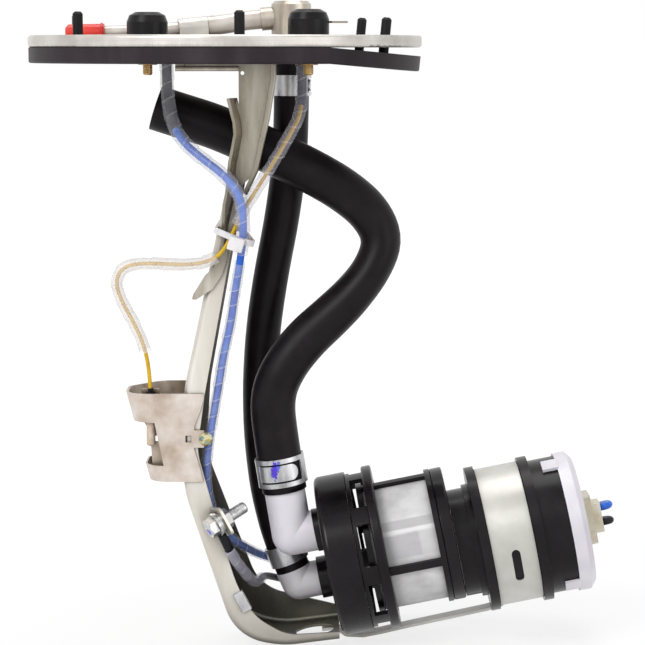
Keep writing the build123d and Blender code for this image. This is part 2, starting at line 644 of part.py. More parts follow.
def make_tower():
    """Outlet tower with the delivery tube, its clip and the dust cap on the tube's end."""
    tower = turned([(0, PLATE_T), (TOWER_R, PLATE_T), (TOWER_R, TOWER_TOP_Z - TOWER_CHAMFER),
                    (TOWER_R - TOWER_CHAMFER, TOWER_TOP_Z), (0, TOWER_TOP_Z)])
    tower += tube(TOWER_SHANK_R, 0, -TOWER_NUT_H, PLATE_T)
    tower += Pos(0, 0, -TOWER_NUT_H) * hexagon(TOWER_NUT_AF, TOWER_NUT_H)
    nipple_r = DELIVERY_HOSE_BORE_R - NIPPLE_GAP - BARB_RISE
    tower += barbed(nipple_r, TOWER_BARB_END_Z, -TOWER_NUT_H, -1)
    tower = Pos(TOWER_X, TOWER_Y, 0) * tower
    start = Vector(*SLEEVE_ROUTE[0])
    heading = (Vector(*SLEEVE_ROUTE[1]) - start).normalized()
    boss_root = start - heading * (TUBE_BOSS_LENGTH + TOWER_R)
    tower += rod(boss_root, start, TUBE_BOSS_R)
    tower -= Pos(TOWER_X, TOWER_Y, 0) * tube(TOWER_BORE_R, 0, TOWER_BARB_END_Z - 1, start.Z + TOWER_BORE_R)
    tower -= rod(boss_root + heading * TUBE_BOSS_LENGTH, start + heading, TUBE_R - TUBE_WALL)
    save("outlet_tower", tower)

    bore = TUBE_R - TUBE_WALL
    pipe = hose("delivery_tube", TUBE_ROUTE, TUBE_R, bore)
    sleeve = hose("tube sleeve", SLEEVE_ROUTE, SLEEVE_R, bore)
    save("delivery_tube", pipe + sleeve)

    end, before = Vector(*TUBE_ROUTE[-1]), Vector(*TUBE_ROUTE[-2])
    outward = (end - before).normalized()
    r_cap = TUBE_R + CAP_GAP + CAP_WALL
    bead = CAP_LENGTH - CAP_BEAD_INSET
    cap = turned([(0, -CAP_END_T), (r_cap - CAP_END_CHAMFER, -CAP_END_T), (r_cap, CAP_END_CHAMFER - CAP_END_T),
                  (r_cap, bead), (r_cap + CAP_LIP, bead + CAP_BEAD_STEP), (r_cap + CAP_LIP, bead + 2 * CAP_BEAD_STEP),
                  (r_cap, bead + 3 * CAP_BEAD_STEP), (r_cap, CAP_LENGTH), (0, CAP_LENGTH)])
    cap -= tube(TUBE_R + CAP_GAP, 0, -CAP_GAP, THROUGH)
    save("dust_cap", Plane(origin=end, z_dir=-outward) * cap)

    top, low = Vector(*TUBE_ROUTE[0]), Vector(*TUBE_ROUTE[1])
    run = (low - top).normalized()
    middle = top + run * (CLIP_LENGTH / 2 + CLIP_INSET)
    arch_r = TUBE_R + CAP_GAP + CLIP_T
    bore_r = TUBE_R + CAP_GAP
    height = middle.Z - PLATE_T
    along = Pos(middle.X, middle.Y, PLATE_T) * Rot(0, 0, math.degrees(math.atan2(run.Y, run.X)))
    arch = rod(middle - run * CLIP_LENGTH / 2, middle + run * CLIP_LENGTH / 2, arch_r)
    arch += along * Pos(0, 0, height / 2) * Box(CLIP_LENGTH, 2 * arch_r, height)
    arch -= rod(middle - run * CLIP_LENGTH, middle + run * CLIP_LENGTH, bore_r)
    arch -= along * Pos(0, 0, height / 2) * Box(THROUGH, 2 * bore_r, height)
    for side in (-1, 1):
        arch += along * Pos(0, side * (arch_r - CLIP_T / 2 + CLIP_FOOT / 2), CLIP_T / 2) * \
            Box(CLIP_LENGTH, CLIP_FOOT, CLIP_T)
    arch = arch & Pos(0, 0, PLATE_T + THROUGH / 2) * Box(THROUGH, THROUGH, THROUGH)
    save("tube_clip", arch)


def make_terminals():
    """Boots, studs, insulators, nuts and lugs of the electrical terminals."""
    boots, studs, insulators, lugs, nuts = [], [], [], [], []
    for side, (x, y, top) in TERMINALS.items():
        at = Pos(x, y, 0)
        dome = top - BOOT_DOME_H
        body_r = BOOT_R - BOOT_SKIRT_STEP
        outer = turned([(0, PLATE_T), (BOOT_R, PLATE_T), (BOOT_R, PLATE_T + BOOT_SKIRT_H),
                        (body_r, PLATE_T + BOOT_SKIRT_H + BOOT_SKIRT_STEP), (body_r, dome),
                        (BOOT_NECK_R, top - BOOT_CROWN_H), (BOOT_NECK_R - BOOT_CROWN_W, top), (0, top)])
        roof = top - BOOT_CROWN_H - BOOT_WALL
        inner = turned([(0, PLATE_T - 1), (BOOT_R - BOOT_SKIRT_WALL, PLATE_T - 1), (BOOT_R - BOOT_SKIRT_WALL, dome),
                        (BOOT_NECK_R - BOOT_CROWN_H - BOOT_WALL / 2, roof), (0, roof)])
        boots.append(at * (outer - inner))
        stud = tube(STUD_R, 0, STUD_LOW_Z, STUD_TOP_Z)
        stud = chamfer(stud.edges().filter_by(GeomType.CIRCLE), STUD_CHAMFER)
        studs.append(at * stud)
        body = tube(INSULATOR_R, 0, -INSULATOR_T, 0) + tube(INSULATOR_SHANK_R, 0, -INSULATOR_T, PLATE_T)
        body += tube(INSULATOR_R, 0, PLATE_T, PLATE_T + INSULATOR_TOP_T)
        insulators.append(at * (body - Cylinder(STUD_R + STUD_GAP, THROUGH)))
        turn = Rot(0, 0, LUG_TURN_DEG[side])
        low = -INSULATOR_T - LUG_T
        lug = tube(LUG_R, 0, low, -INSULATOR_T)
        lug += Pos(LUG_REACH / 2, 0, low + LUG_T / 2) * Box(LUG_REACH, LUG_W, LUG_T)
        lug += Pos(LUG_REACH, 0, 0) * tube(LUG_BARREL_R, 0, low - LUG_BARREL_LENGTH, -INSULATOR_T)
        lug -= Cylinder(STUD_R + STUD_GAP, THROUGH)
        lugs.append(at * turn * lug)
        for face, height in ((low - NUT_H, NUT_H), (PLATE_T + INSULATOR_TOP_T, NUT_H)):
            nut = hexagon(NUT_AF, height) - Cylinder(STUD_R + STUD_GAP, THROUGH)
            nuts.append(at * Pos(0, 0, face) * nut)
    x, y, _ = TERMINALS["right"]
    blade = Pos(x + BOOT_R + BLADE_SIZE[0] / 2 - BLADE_SUNK, y, BLADE_Z) * Box(*BLADE_SIZE)
    blade -= Pos(x + BOOT_R + BLADE_SIZE[0] - BLADE_HOLE_INSET, y, BLADE_Z) * Cylinder(BLADE_HOLE_R, THROUGH)
    boots[1] += blade
    save("left_terminal_boot", boots[0])
    save("right_terminal_boot", boots[1])
    save("terminal_studs", Compound(children=studs))
    save("terminal_insulators", Compound(children=insulators))
    return lugs, nuts


def lug_end(side):
    """Low end of the barrel of a terminal's lug, where its lead begins."""
    x, y, _ = TERMINALS[side]
    turn = math.radians(LUG_TURN_DEG[side])
    return Vector(x + LUG_REACH * math.cos(turn), y + LUG_REACH * math.sin(turn),
                  -INSULATOR_T - LUG_T - LUG_BARREL_LENGTH)


def earth_lug():
    """Start and end of the barrel of the earth lug, clear of the washers and of the tab."""
    axis = Vector(*BOLT_DIR).normalized()
    wanted = Vector(*EARTH_LUG_DIR)
    down = (wanted - axis * wanted.dot(axis)).normalized()
    level = Vector(*BOLT_HEAD_AT) + axis * (2 * WASHER_T + LUG_T - LUG_BARREL_R - ASSEMBLY_GAP)
    start = level + down * (WASHER_R + LUG_CLEAR)
    return start, start + down * LUG_BARREL_LENGTH, down


def make_channel():
    """Lower channel of the hanger with its tab for the earth bolt, and the arm to the pump's band."""
    half = CHANNEL_W / 2
    outer = place(region(CHANNEL_BACK, CHANNEL_BACK_R, FAR_LIP, FAR_LIP_R), -half, half)
    back_edges = [e for e in outer.edges() if abs(abs(e.center().Y) - half) < 0.01
                  and is_on_back(e.center(), CHANNEL_BACK, CHANNEL_BACK_R)]
    outer = fillet(back_edges, CHANNEL_BEND_R)
    inner_back, inner_radii = offset_path(CHANNEL_BACK, CHANNEL_BACK_R, SHEET_T)
    top, bottom = inner_back[0], inner_back[-1]
    lead_in, lead_out = past(inner_back[1], top, HOLLOW_LEAD), past(inner_back[-2], bottom, HOLLOW_LEAD)
    hollow_back = [lead_in] + inner_back[1:-1] + [lead_out]
    edges = FilletPolyline(*in_xz(hollow_back), radius=inner_radii).edges()
    edges += Polyline((lead_in[0], 0, lead_in[1]), (lead_in[0] + OPEN_REACH, 0, lead_in[1]),
                      (lead_in[0] + OPEN_REACH, 0, lead_out[1]), (lead_out[0], 0, lead_out[1])).edges()
    hollow = place(make_face(edges), -half + SHEET_T, half - SHEET_T)
    hollow_edges = [e for e in hollow.edges() if abs(abs(e.center().Y) - half + SHEET_T) < 0.01
                    and is_on_back(e.center(), hollow_back, inner_radii)]
    hollow = fillet(hollow_edges, CHANNEL_BEND_R - SHEET_T)
    channel = outer - hollow
    edges = FilletPolyline(*in_xz(NEAR_LIP), radius=NEAR_LIP_R).edges()
    (first_x, first_z), (last_x, last_z) = NEAR_LIP[0], NEAR_LIP[-1]
    edges += Polyline(*in_xz([(first_x, first_z), (first_x, first_z + LIP_RISE), (first_x + LIP_REACH + LIP_RISE,
                                                                                 first_z + LIP_RISE),
                              (first_x + LIP_REACH + LIP_RISE, last_z - LIP_DROP), (last_x, last_z - LIP_DROP),
                              (last_x, last_z)])).edges()
    channel -= place(make_face(edges), -half - SHEET_T, -half + 1.3 * SHEET_T)
    channel -= Pos(WEB_HOLE_X, 0, CHANNEL_BACK[-1][1]) * Cylinder(WEB_HOLE_R, THROUGH)
    tab_low = 2 * WASHER_T + LUG_T
    tab = Pos(0, 0, tab_low + TAB_T / 2) * Box(TAB_W, TAB_W, TAB_T)
    tab = fillet(tab.edges().filter_by(Axis.Z), TAB_ROUND) - Cylinder(BOLT_R + ASSEMBLY_GAP, THROUGH)
    tab = Plane(origin=BOLT_HEAD_AT, z_dir=Vector(*BOLT_DIR)) * tab
    keep = Pos(0, -half + SHEET_T - THROUGH / 2, 0) * Box(2 * THROUGH, THROUGH, 2 * THROUGH)
    channel += tab & keep
    save("hanger_channel", channel)


def past(start, end, distance):
    """Point on the line from start to end, a distance past the end."""
    length = math.dist(start, end)
    return tuple(b + (b - a) * distance / length for a, b in zip(start, end))


def is_on_back(point, line, radii):
    """Whether a point lies on the back line of the channel, within 0.05 mm."""
    path = FilletPolyline(*in_xz(line), radius=radii)
    return path.distance_to(Vector(point.X, 0, point.Z)) < 0.05


def strip(line, thickness):
    """Face in the XZ plane between a line of straight runs and the same line moved to its right."""
    inner, _ = offset_path(line, [0] * (len(line) - 2), -thickness)
    return make_face(Polyline(*in_xz(line + inner[::-1]), close=True))


def make_bracket():
    """Upper bracket: foot, front panel, a hem and a turned edge at its right, and a flange with a tongue."""
    front = -CHANNEL_W / 2 - SHEET_T
    right_side = [(x, z) for x, z in BRACKET_RIGHT if z > BRACKET_END[0][1]]
    left_side = [(x - PANEL_LAP, z) for x, z in BRACKET_LEFT if z > BRACKET_END[-1][1]]
    outline = right_side + BRACKET_END + left_side[::-1] + BRACKET_SHOULDER + [(FOOT_X, -FOOT_LIP_H), (FOOT_X, 0)]
    body = place(make_face(Polyline(*in_xz(outline), close=True)), front, front + SHEET_T)
    body += place(strip(BRACKET_RIGHT, SHEET_T), front, front + BRACKET_DEPTH)
    body += place(strip(BRACKET_RIGHT, HEM_W), front - HEM_RISE, front + SHEET_T)
    edge_line = Polyline(*in_xz(BRACKET_RIGHT))
    corner = [e for e in body.edges() if abs(e.center().Y - front + HEM_RISE) < 0.01
              and edge_line.distance_to(Vector(e.center().X, 0, e.center().Z)) < 0.01]
    body = fillet(corner, BRACKET_EDGE_R)
    foot_right = BRACKET_RIGHT[0][0]
    body += Pos((FOOT_X + foot_right) / 2, front + FOOT_DEPTH / 2, -SHEET_T / 2) * \
        Box(foot_right - FOOT_X, FOOT_DEPTH, SHEET_T)
    bead_z = FOOT_BEAD_R - FOOT_LIP_H
    body += rod((FOOT_X, front, bead_z), (BRACKET_SHOULDER[-1][0], front, bead_z), FOOT_BEAD_R)
    lean_x, lean_y = LEAN
    flange_face = Pos(0, front + SHEET_T, 0) * strip(BRACKET_LEFT, SHEET_T)
    reach = 1 - SHEET_T / lean_y
    flange = extrude(flange_face, abs(lean_y) * reach * math.hypot(1, lean_x / lean_y), dir=(lean_x, lean_y, 0))
    upper_z, lower_z = LEAN_END_Z
    trim = Polyline((0, front + lean_y, upper_z), (0, front, lower_z), (0, front, -THROUGH), (0, -THROUGH, -THROUGH),
                    (0, -THROUGH, upper_z), close=True)
    flange -= Pos(-THROUGH / 2, 0, 0) * extrude(make_face(trim), THROUGH, dir=(1, 0, 0))
    body += flange
    body += place(make_face(Polyline(*in_xz(TONGUE), close=True)), front, front + SHEET_T)
    notch_x, notch_z = BRACKET_SHOULDER[-1]
    body -= Pos(notch_x + 2 * RELIEF_HOLE_R, front, notch_z - RELIEF_HOLE_R) * Rot(90, 0, 0) * \
        Cylinder(RELIEF_HOLE_R, 4 * SHEET_T)
    body -= Pos(0, 0, THROUGH / 2) * Box(THROUGH, THROUGH, THROUGH)
    save("hanger_bracket", body)


def make_band():
    """Band round the pump's housing, and the arm from the channel to it."""
    r_in = HOUSING_DRUM_R + BAND_GAP
    low, high = HOUSING_S["drum"] + BAND_EDGE_GAP, HOUSING_S["rear"] - BAND_EDGE_GAP
    band = tube(r_in + BAND_T, r_in, low, high)
    slot_width, slot_length = BAND_SLOT
    turn_deg = math.degrees(slot_length / r_in)
    cutter = tube(2 * r_in, r_in / 2, -slot_width / 2, slot_width / 2)
    cutter = Pos(0, 0, BAND_SLOT_S) * (cutter & wedge(3 * r_in, -turn_deg / 2, turn_deg / 2, 2 * slot_width))
    band -= Rot(0, 0, BAND_SLOT_TURN_DEG) * cutter
    band = PUMP_PLANE * band

    def below(s_at, radius):
        """Point of the XZ plane under the pump, at a radius from its axis."""
        at = PUMP_PLANE.from_local_coords((-radius, 0, s_at))
        return at.X, at.Z

    (x0, z0), (x1, z1) = CHANNEL_BACK[-2:]
    slope = (z1 - z0) / (x1 - x0)
    clear_r = HOUSING_FLANGE_R + ARM_GAP
    line = [(x1 - lap, z1 - lap * slope) for lap in ARM_LAP] + ARM_ROUTE
    before, after, foot, tip = ARM_RISE
    line += [below(HOUSING_S["flange"] + before, clear_r + ARM_STEP), below(HOUSING_S["drum"] + after, clear_r),
             below(HOUSING_S["drum"] + foot, r_in + BAND_T / 2), below(HOUSING_S["drum"] + tip, r_in + BAND_T / 2)]
    arm = place(make_face(offset_outline(line, ARM_BEND_R, SHEET_T)), ARM_Y - ARM_W / 2, ARM_Y + ARM_W / 2)
    arm -= PUMP_PLANE * tube(r_in, 0, low - BAND_EDGE_GAP, high)
    save("pump_band", band + arm)


def wedge(radius, low_deg, high_deg, height):
    """Sector of a disc about Z, centred in height."""
    points = [(0, 0)]
    steps = 6
    for index in range(steps + 1):
        angle = math.radians(low_deg + (high_deg - low_deg) * index / steps)
        points.append((radius * math.cos(angle), radius * math.sin(angle)))
    return Pos(0, 0, -height / 2) * extrude(make_face(Polyline(*points, close=True)), height)


def offset_outline(line, radius, thickness):
    """Closed outline of a strip of sheet whose upper face follows a line."""
    radii = [radius] * (len(line) - 2)
    lower, lower_radii = offset_path(line, radii, -thickness)
    edges = FilletPolyline(*in_xz(line), radius=radii).edges()
    edges += FilletPolyline(*in_xz(lower), radius=lower_radii).edges()
    edges += [Line((line[0][0], 0, line[0][1]), (lower[0][0], 0, lower[0][1])).edge(),
              Line((line[-1][0], 0, line[-1][1]), (lower[-1][0], 0, lower[-1][1])).edge()]
    return edges


def make_fasteners(lugs, nuts):
    """Earth bolt with its washers, all the lugs and nuts, and the rivet of the sensor guard."""
    axis = Vector(*BOLT_DIR).normalized()
    head_face = Plane(origin=BOLT_HEAD_AT, z_dir=axis)
    head = Pos(0, 0, -BOLT_HEAD_H) * hexagon(BOLT_AF, BOLT_HEAD_H)
    corner_r = BOLT_AF / math.sqrt(3)
    head = head & Pos(0, 0, -BOLT_HEAD_H) * turned([(0, 0), (BOLT_AF / 2, 0), (corner_r, BOLT_TIP),
                                                   (corner_r, BOLT_HEAD_H), (0, BOLT_HEAD_H)])
    bolt = head + turned([(0, 0), (BOLT_R, 0), (BOLT_R, BOLT_LENGTH - BOLT_TIP), (BOLT_R - BOLT_TIP, BOLT_LENGTH),
                          (0, BOLT_LENGTH)])
    save("hanger_bolt", head_face * bolt)
    bore = BOLT_R + ASSEMBLY_GAP
    first = tube(WASHER_R, bore, 0, WASHER_T)
    second = tube(SECOND_WASHER_R, bore, WASHER_T, 2 * WASHER_T)
    save("bolt_washers", Compound(children=[head_face * first, head_face * second]))
    low = 2 * WASHER_T
    centre = Vector(*BOLT_HEAD_AT) + axis * low
    start, end, down = earth_lug()
    lug = head_face * tube(EARTH_LUG_R, 0, low, low + LUG_T)
    lug_frame = Plane(origin=centre, x_dir=down, z_dir=axis)
    strap = WASHER_R + LUG_STRAP
    lug += lug_frame * Pos(strap / 2, 0, LUG_T / 2) * Box(strap, LUG_W, LUG_T)
    lug += rod(start, end, LUG_BARREL_R)
    lug -= head_face * Cylinder(bore, THROUGH)
    low += LUG_T
    nut = head_face * Pos(0, 0, low + TAB_T) * (hexagon(BOLT_AF, NUT_H) - Cylinder(bore, THROUGH))
    save("cable_lugs", Compound(children=lugs + [lug]))
    save("terminal_nuts", Compound(children=nuts + [nut]))
    x, z = RIVET_AT
    face = -CHANNEL_W / 2 - GUARD_T
    edge, shoulder, crown = RIVET_DOME
    dome = turned([(0, 0), (RIVET_HEAD_R, 0), (RIVET_HEAD_R, edge), (RIVET_HEAD_R - shoulder + edge, shoulder),
                   (0, crown)])
    dome += tube(RIVET_SHANK_R, 0, -GUARD_T - SHEET_T, 0)
    dome += tube(RIVET_TAIL_R, 0, -GUARD_T - SHEET_T - RIVET_TAIL_H, -GUARD_T - SHEET_T)
    save("guard_rivet", Plane(origin=(x, face, z), z_dir=(0, -1, 0)) * dome)


def guard_solid(inset):
    """Block of the guard's outer form, moved inwards by inset."""
    half = CHANNEL_W / 2
    sections = []
    for nose_x, z in ((GUARD_NOSE_TOP_X, GUARD_TOP_Z + inset), (GUARD_NOSE_BOTTOM_X, GUARD_BOTTOM_Z - inset)):
        nose = nose_x + inset
        front, rear = -half - GUARD_T + inset, half + GUARD_T + GUARD_BACK_GAP - inset
        corners = [(GUARD_RIGHT_X, front, z), (nose, front, z), (nose, GUARD_TURN_Y, z),
                   (nose + GUARD_CHAMFER_X, rear, z), (GUARD_RIGHT_X, rear, z)]
        turn_r, back_r = GUARD_TURN_R
        outline = FilletPolyline(*corners, radius=[GUARD_NOSE_R - inset, turn_r - inset, back_r - inset])
        closing = Line(corners[-1], corners[0])
        sections.append(make_face(outline.edges() + [closing.edge()]))
    return loft(sections)


def make_guard():
    """Bent sheet guard round the level sensor, and the sensor on its holder inside."""
    body = guard_solid(0) - guard_solid(GUARD_T)
    body -= Pos(GUARD_RIGHT_X - GUARD_BACK_GAP + THROUGH / 2, 0, GUARD_TOP_Z) * Box(THROUGH, THROUGH, THROUGH)
    body -= Pos(0, 0, GUARD_TOP_Z + THROUGH / 2 - GUARD_TOP_CUT) * Box(THROUGH, THROUGH, THROUGH)
    low, high = GUARD_WINDOW_Z
    lean_up, lean_down = GUARD_WINDOW_LEAN
    window = Polyline((-THROUGH, 0, high), (GUARD_WINDOW_X + lean_up, 0, high), (GUARD_WINDOW_X + lean_down, 0, low),
                      (-THROUGH, 0, low), close=True)
    body -= place(make_face(window), -THROUGH, GUARD_WINDOW_Y)
    cut = [(GUARD_RIGHT_X + 1, GUARD_EDGE[0][1])] + [(GUARD_RIGHT_X + x, z) for x, z in GUARD_EDGE]
    right_cut = make_face(Polyline(*in_xz(cut + [(GUARD_RIGHT_X + 1, GUARD_EDGE[-1][1] - 1)]), close=True))
    body -= place(right_cut, -THROUGH, -CHANNEL_W / 2 + GUARD_EDGE_DEPTH)
    body -= place(right_cut, CHANNEL_W / 2 - GUARD_EDGE_DEPTH, THROUGH)
    x, z = RIVET_AT
    tab_low, tab_high, tab_h = GUARD_TAB
    slot_x, slot_w, slot_h = GUARD_TAB_SLOT
    body += Pos(x + (tab_low + tab_high) / 2, -(CHANNEL_W + GUARD_T) / 2, z) * Box(tab_high - tab_low, GUARD_T, tab_h)
    body -= Pos(x, -THROUGH / 2, z) * Rot(90, 0, 0) * Cylinder(RIVET_SHANK_R + ASSEMBLY_GAP, THROUGH)
    body -= Pos(x - slot_x, -CHANNEL_W / 2, z) * Box(slot_w, 4 * GUARD_T, slot_h)
    save("sensor_guard", body)

    lead_x, lead_y, _ = SENSOR_ROUTE[-1]
    face_y = lead_y + HOLDER_STAND_OFF
    outline = [(lead_x + x, z) for x, z in HOLDER]
    holder = place(make_face(Polyline(*in_xz(outline), close=True)), face_y, face_y + HOLDER_T)
    hole_x, hole_z = HOLDER_HOLE_AT
    holder -= Pos(lead_x + hole_x, face_y, hole_z) * Rot(90, 0, 0) * Cylinder(HOLDER_HOLE_R, 4 * HOLDER_T)
    foot_start, foot_end = outline[4][0] - HOLDER_T, CHANNEL_BACK[1][0] - ASSEMBLY_GAP
    holder += Pos((foot_start + foot_end) / 2, face_y + HOLDER_T / 2, HOLDER_FOOT_Z) * \
        Box(foot_end - foot_start, HOLDER_T, HOLDER_FOOT_H)
    save("sensor_holder", holder)
    neck, crown = SENSOR_TAPER
    bead = turned([(0, SENSOR_LOW_Z), (SENSOR_BEAD_R, SENSOR_LOW_Z + crown), (SENSOR_BEAD_R, SENSOR_TOP_Z - crown),
                   (SENSOR_BEAD_R - neck, SENSOR_TOP_Z), (0, SENSOR_TOP_Z)])
    save("level_sensor", Pos(lead_x, lead_y, 0) * bead)
    bore = LEAD_WIRE_R + GROMMET_GAP
    low, shoulder, top = GROMMET_Z
    grommet = turned([(bore, low), (GROMMET_R, low), (GROMMET_R, shoulder), (GROMMET_R - neck, shoulder + crown),
                      (GROMMET_R - neck, top), (bore, top)])
    save("lead_grommet", Pos(lead_x, lead_y, 0) * grommet)


def hose_clamp(start, heading, hose_r, width, aim):
    """Band clamp round a hose, with a window that faces the way of aim and the band's rounded end in it."""
    frame = Plane(origin=start, z_dir=heading)
    towards = frame.to_local_coords(Vector(*start) + Vector(*aim))
    turn = Rot(0, 0, math.degrees(math.atan2(towards.Y, towards.X)))
    r_in = hose_r + CLAMP_GAP
    r_out = r_in + CLAMP_T
    window_h, tongue_h = width * CLAMP_WINDOW_SHARE, width * CLAMP_TONGUE_SHARE
    start_deg, end_deg = CLAMP_TONGUE_DEG
    window = tube(r_out + 1, r_in - 1, -window_h / 2, window_h / 2) & wedge(3 * r_out, *CLAMP_WINDOW_DEG, width)
    under = Cylinder(r_in + CLAMP_TONGUE_T, 2 * width)
    window -= under & wedge(3 * r_out, start_deg, end_deg, tongue_h)
    rounded = Rot(0, 0, end_deg) * Pos(r_in, 0, 0) * Rot(0, 90, 0) * Cylinder(tongue_h / 2, 4 * CLAMP_T)
    window -= under & rounded
    return frame * (tube(r_out, r_in, 0, width) - Pos(0, 0, width / 2) * turn * window)


def make_hoses():
    """Return hose and delivery hose with their clamps."""
    return_hose = hose("return_hose", RETURN_HOSE_ROUTE, RETURN_HOSE_R, RETURN_HOSE_BORE_R)
    save("return_hose", return_hose)
    delivery_hose = hose("delivery_hose", DELIVERY_HOSE_ROUTE, DELIVERY_HOSE_R, DELIVERY_HOSE_BORE_R)
    save("delivery_hose", delivery_hose)
    end = Vector(*RETURN_HOSE_ROUTE[-1])
    up = (Vector(*RETURN_HOSE_ROUTE[-2]) - end).normalized()
    clamps = [hose_clamp(end + up * RETURN_CLAMP_AT, up, RETURN_HOSE_R, RETURN_CLAMP_W, (0, -1, 0))]
    top, below = Vector(*DELIVERY_HOSE_ROUTE[0]), Vector(*DELIVERY_HOSE_ROUTE[1])
    down = (below - top).normalized()
    clamps.append(hose_clamp(top + down * UPPER_CLAMP_AT, down, DELIVERY_HOSE_R, DELIVERY_CLAMP_W, (1, 0.4, 0)))
    end = Vector(*DELIVERY_HOSE_ROUTE[-1])
    up = (Vector(*DELIVERY_HOSE_ROUTE[-2]) - end).normalized()
    clamps.append(hose_clamp(end + up * LOWER_CLAMP_AT, up, DELIVERY_HOSE_R, DELIVERY_CLAMP_W, (0, 1, 0)))
    save("hose_clamps", Compound(children=clamps))


def elbow(port, port_length, leg, route, radius, nipple_r, bore_r, nipple_l):
    """Moulded elbow from a port of the cap up into the end of a hose."""
    mouth = FILTER_PLANE.from_local_coords((port[0], -port[1], -port_length))
    mouth = Vector(mouth.X, -port[1], mouth.Z)
    corner = mouth - AXIS * leg
    end, before = Vector(*route[-1]), Vector(*route[-2])
    up = (before - end).normalized()
    body = rod(mouth, corner, radius) + Pos(*corner) * Sphere(radius) + rod(corner, end + up, radius)
    body -= Plane(origin=end, z_dir=up) * Pos(0, 0, 2 * radius) * Box(8 * radius, 8 * radius, 4 * radius)
    body += rod(end - up, end + up * nipple_l, nipple_r)
    for index in range(BARB_COUNT):
        tip = end + up * (nipple_l - BARB_FIRST - index * BARB_PITCH)
        ridge = turned([(0, 0), (nipple_r + BARB_RISE, 0), (nipple_r, BARB_SLOPE), (0, BARB_SLOPE)])
        body += Plane(origin=tip - up * BARB_SLOPE, z_dir=up) * ridge
    body += rod(mouth - AXIS, mouth + AXIS * (port_length + SPIGOT_OUT), PORT_BORE_R - SPIGOT_GAP)
    body -= rod(corner, mouth + AXIS * (port_length + 2 * SPIGOT_OUT), bore_r)
    body -= Pos(*corner) * Sphere(bore_r)
    body -= rod(corner, end, bore_r)
    body -= rod(end, end + up * (nipple_l + 1), bore_r)
    return body


def make_elbows():
    """The two white elbows and the seals in the cap's ports."""
    save("return_elbow", elbow(RETURN_PORT, RETURN_PORT_L, RETURN_ELBOW_LEG, RETURN_HOSE_ROUTE, RETURN_ELBOW_R,
                               RETURN_HOSE_BORE_R - NIPPLE_GAP - BARB_RISE, RETURN_ELBOW_BORE_R, NIPPLE_L))
    save("delivery_elbow", elbow(DELIVERY_PORT, DELIVERY_PORT_L, DELIVERY_ELBOW_LEG, DELIVERY_HOSE_ROUTE,
                                 DELIVERY_ELBOW_R, DELIVERY_HOSE_BORE_R - NIPPLE_GAP - BARB_RISE,
                                 DELIVERY_ELBOW_BORE_R, NIPPLE_L))
    seals = []
    for port in (RETURN_PORT, DELIVERY_PORT):
        ring = Torus(PORT_BORE_R + PORT_SEAL_R + SEAL_GAP, PORT_SEAL_R)
        seals.append(FILTER_PLANE * Pos(port[0], port[1], FILTER_CAP_WALL / 2) * ring)
    seal_r = FILTER_CAP_R - FILTER_CAP_WALL - CAP_SEAL_R - ASSEMBLY_GAP
    seals.append(FILTER_PLANE * Pos(0, 0, LOCK_RING_S[0] - CAP_SEAL_INSET) * Torus(seal_r, CAP_SEAL_R))
    save("cap_seals", Compound(children=seals))


def around(shape, count, first_deg=0.0):
    """Copies of a shape about Z."""
    return [Rot(0, 0, first_deg + index * 360 / count) * shape for index in range(count)]


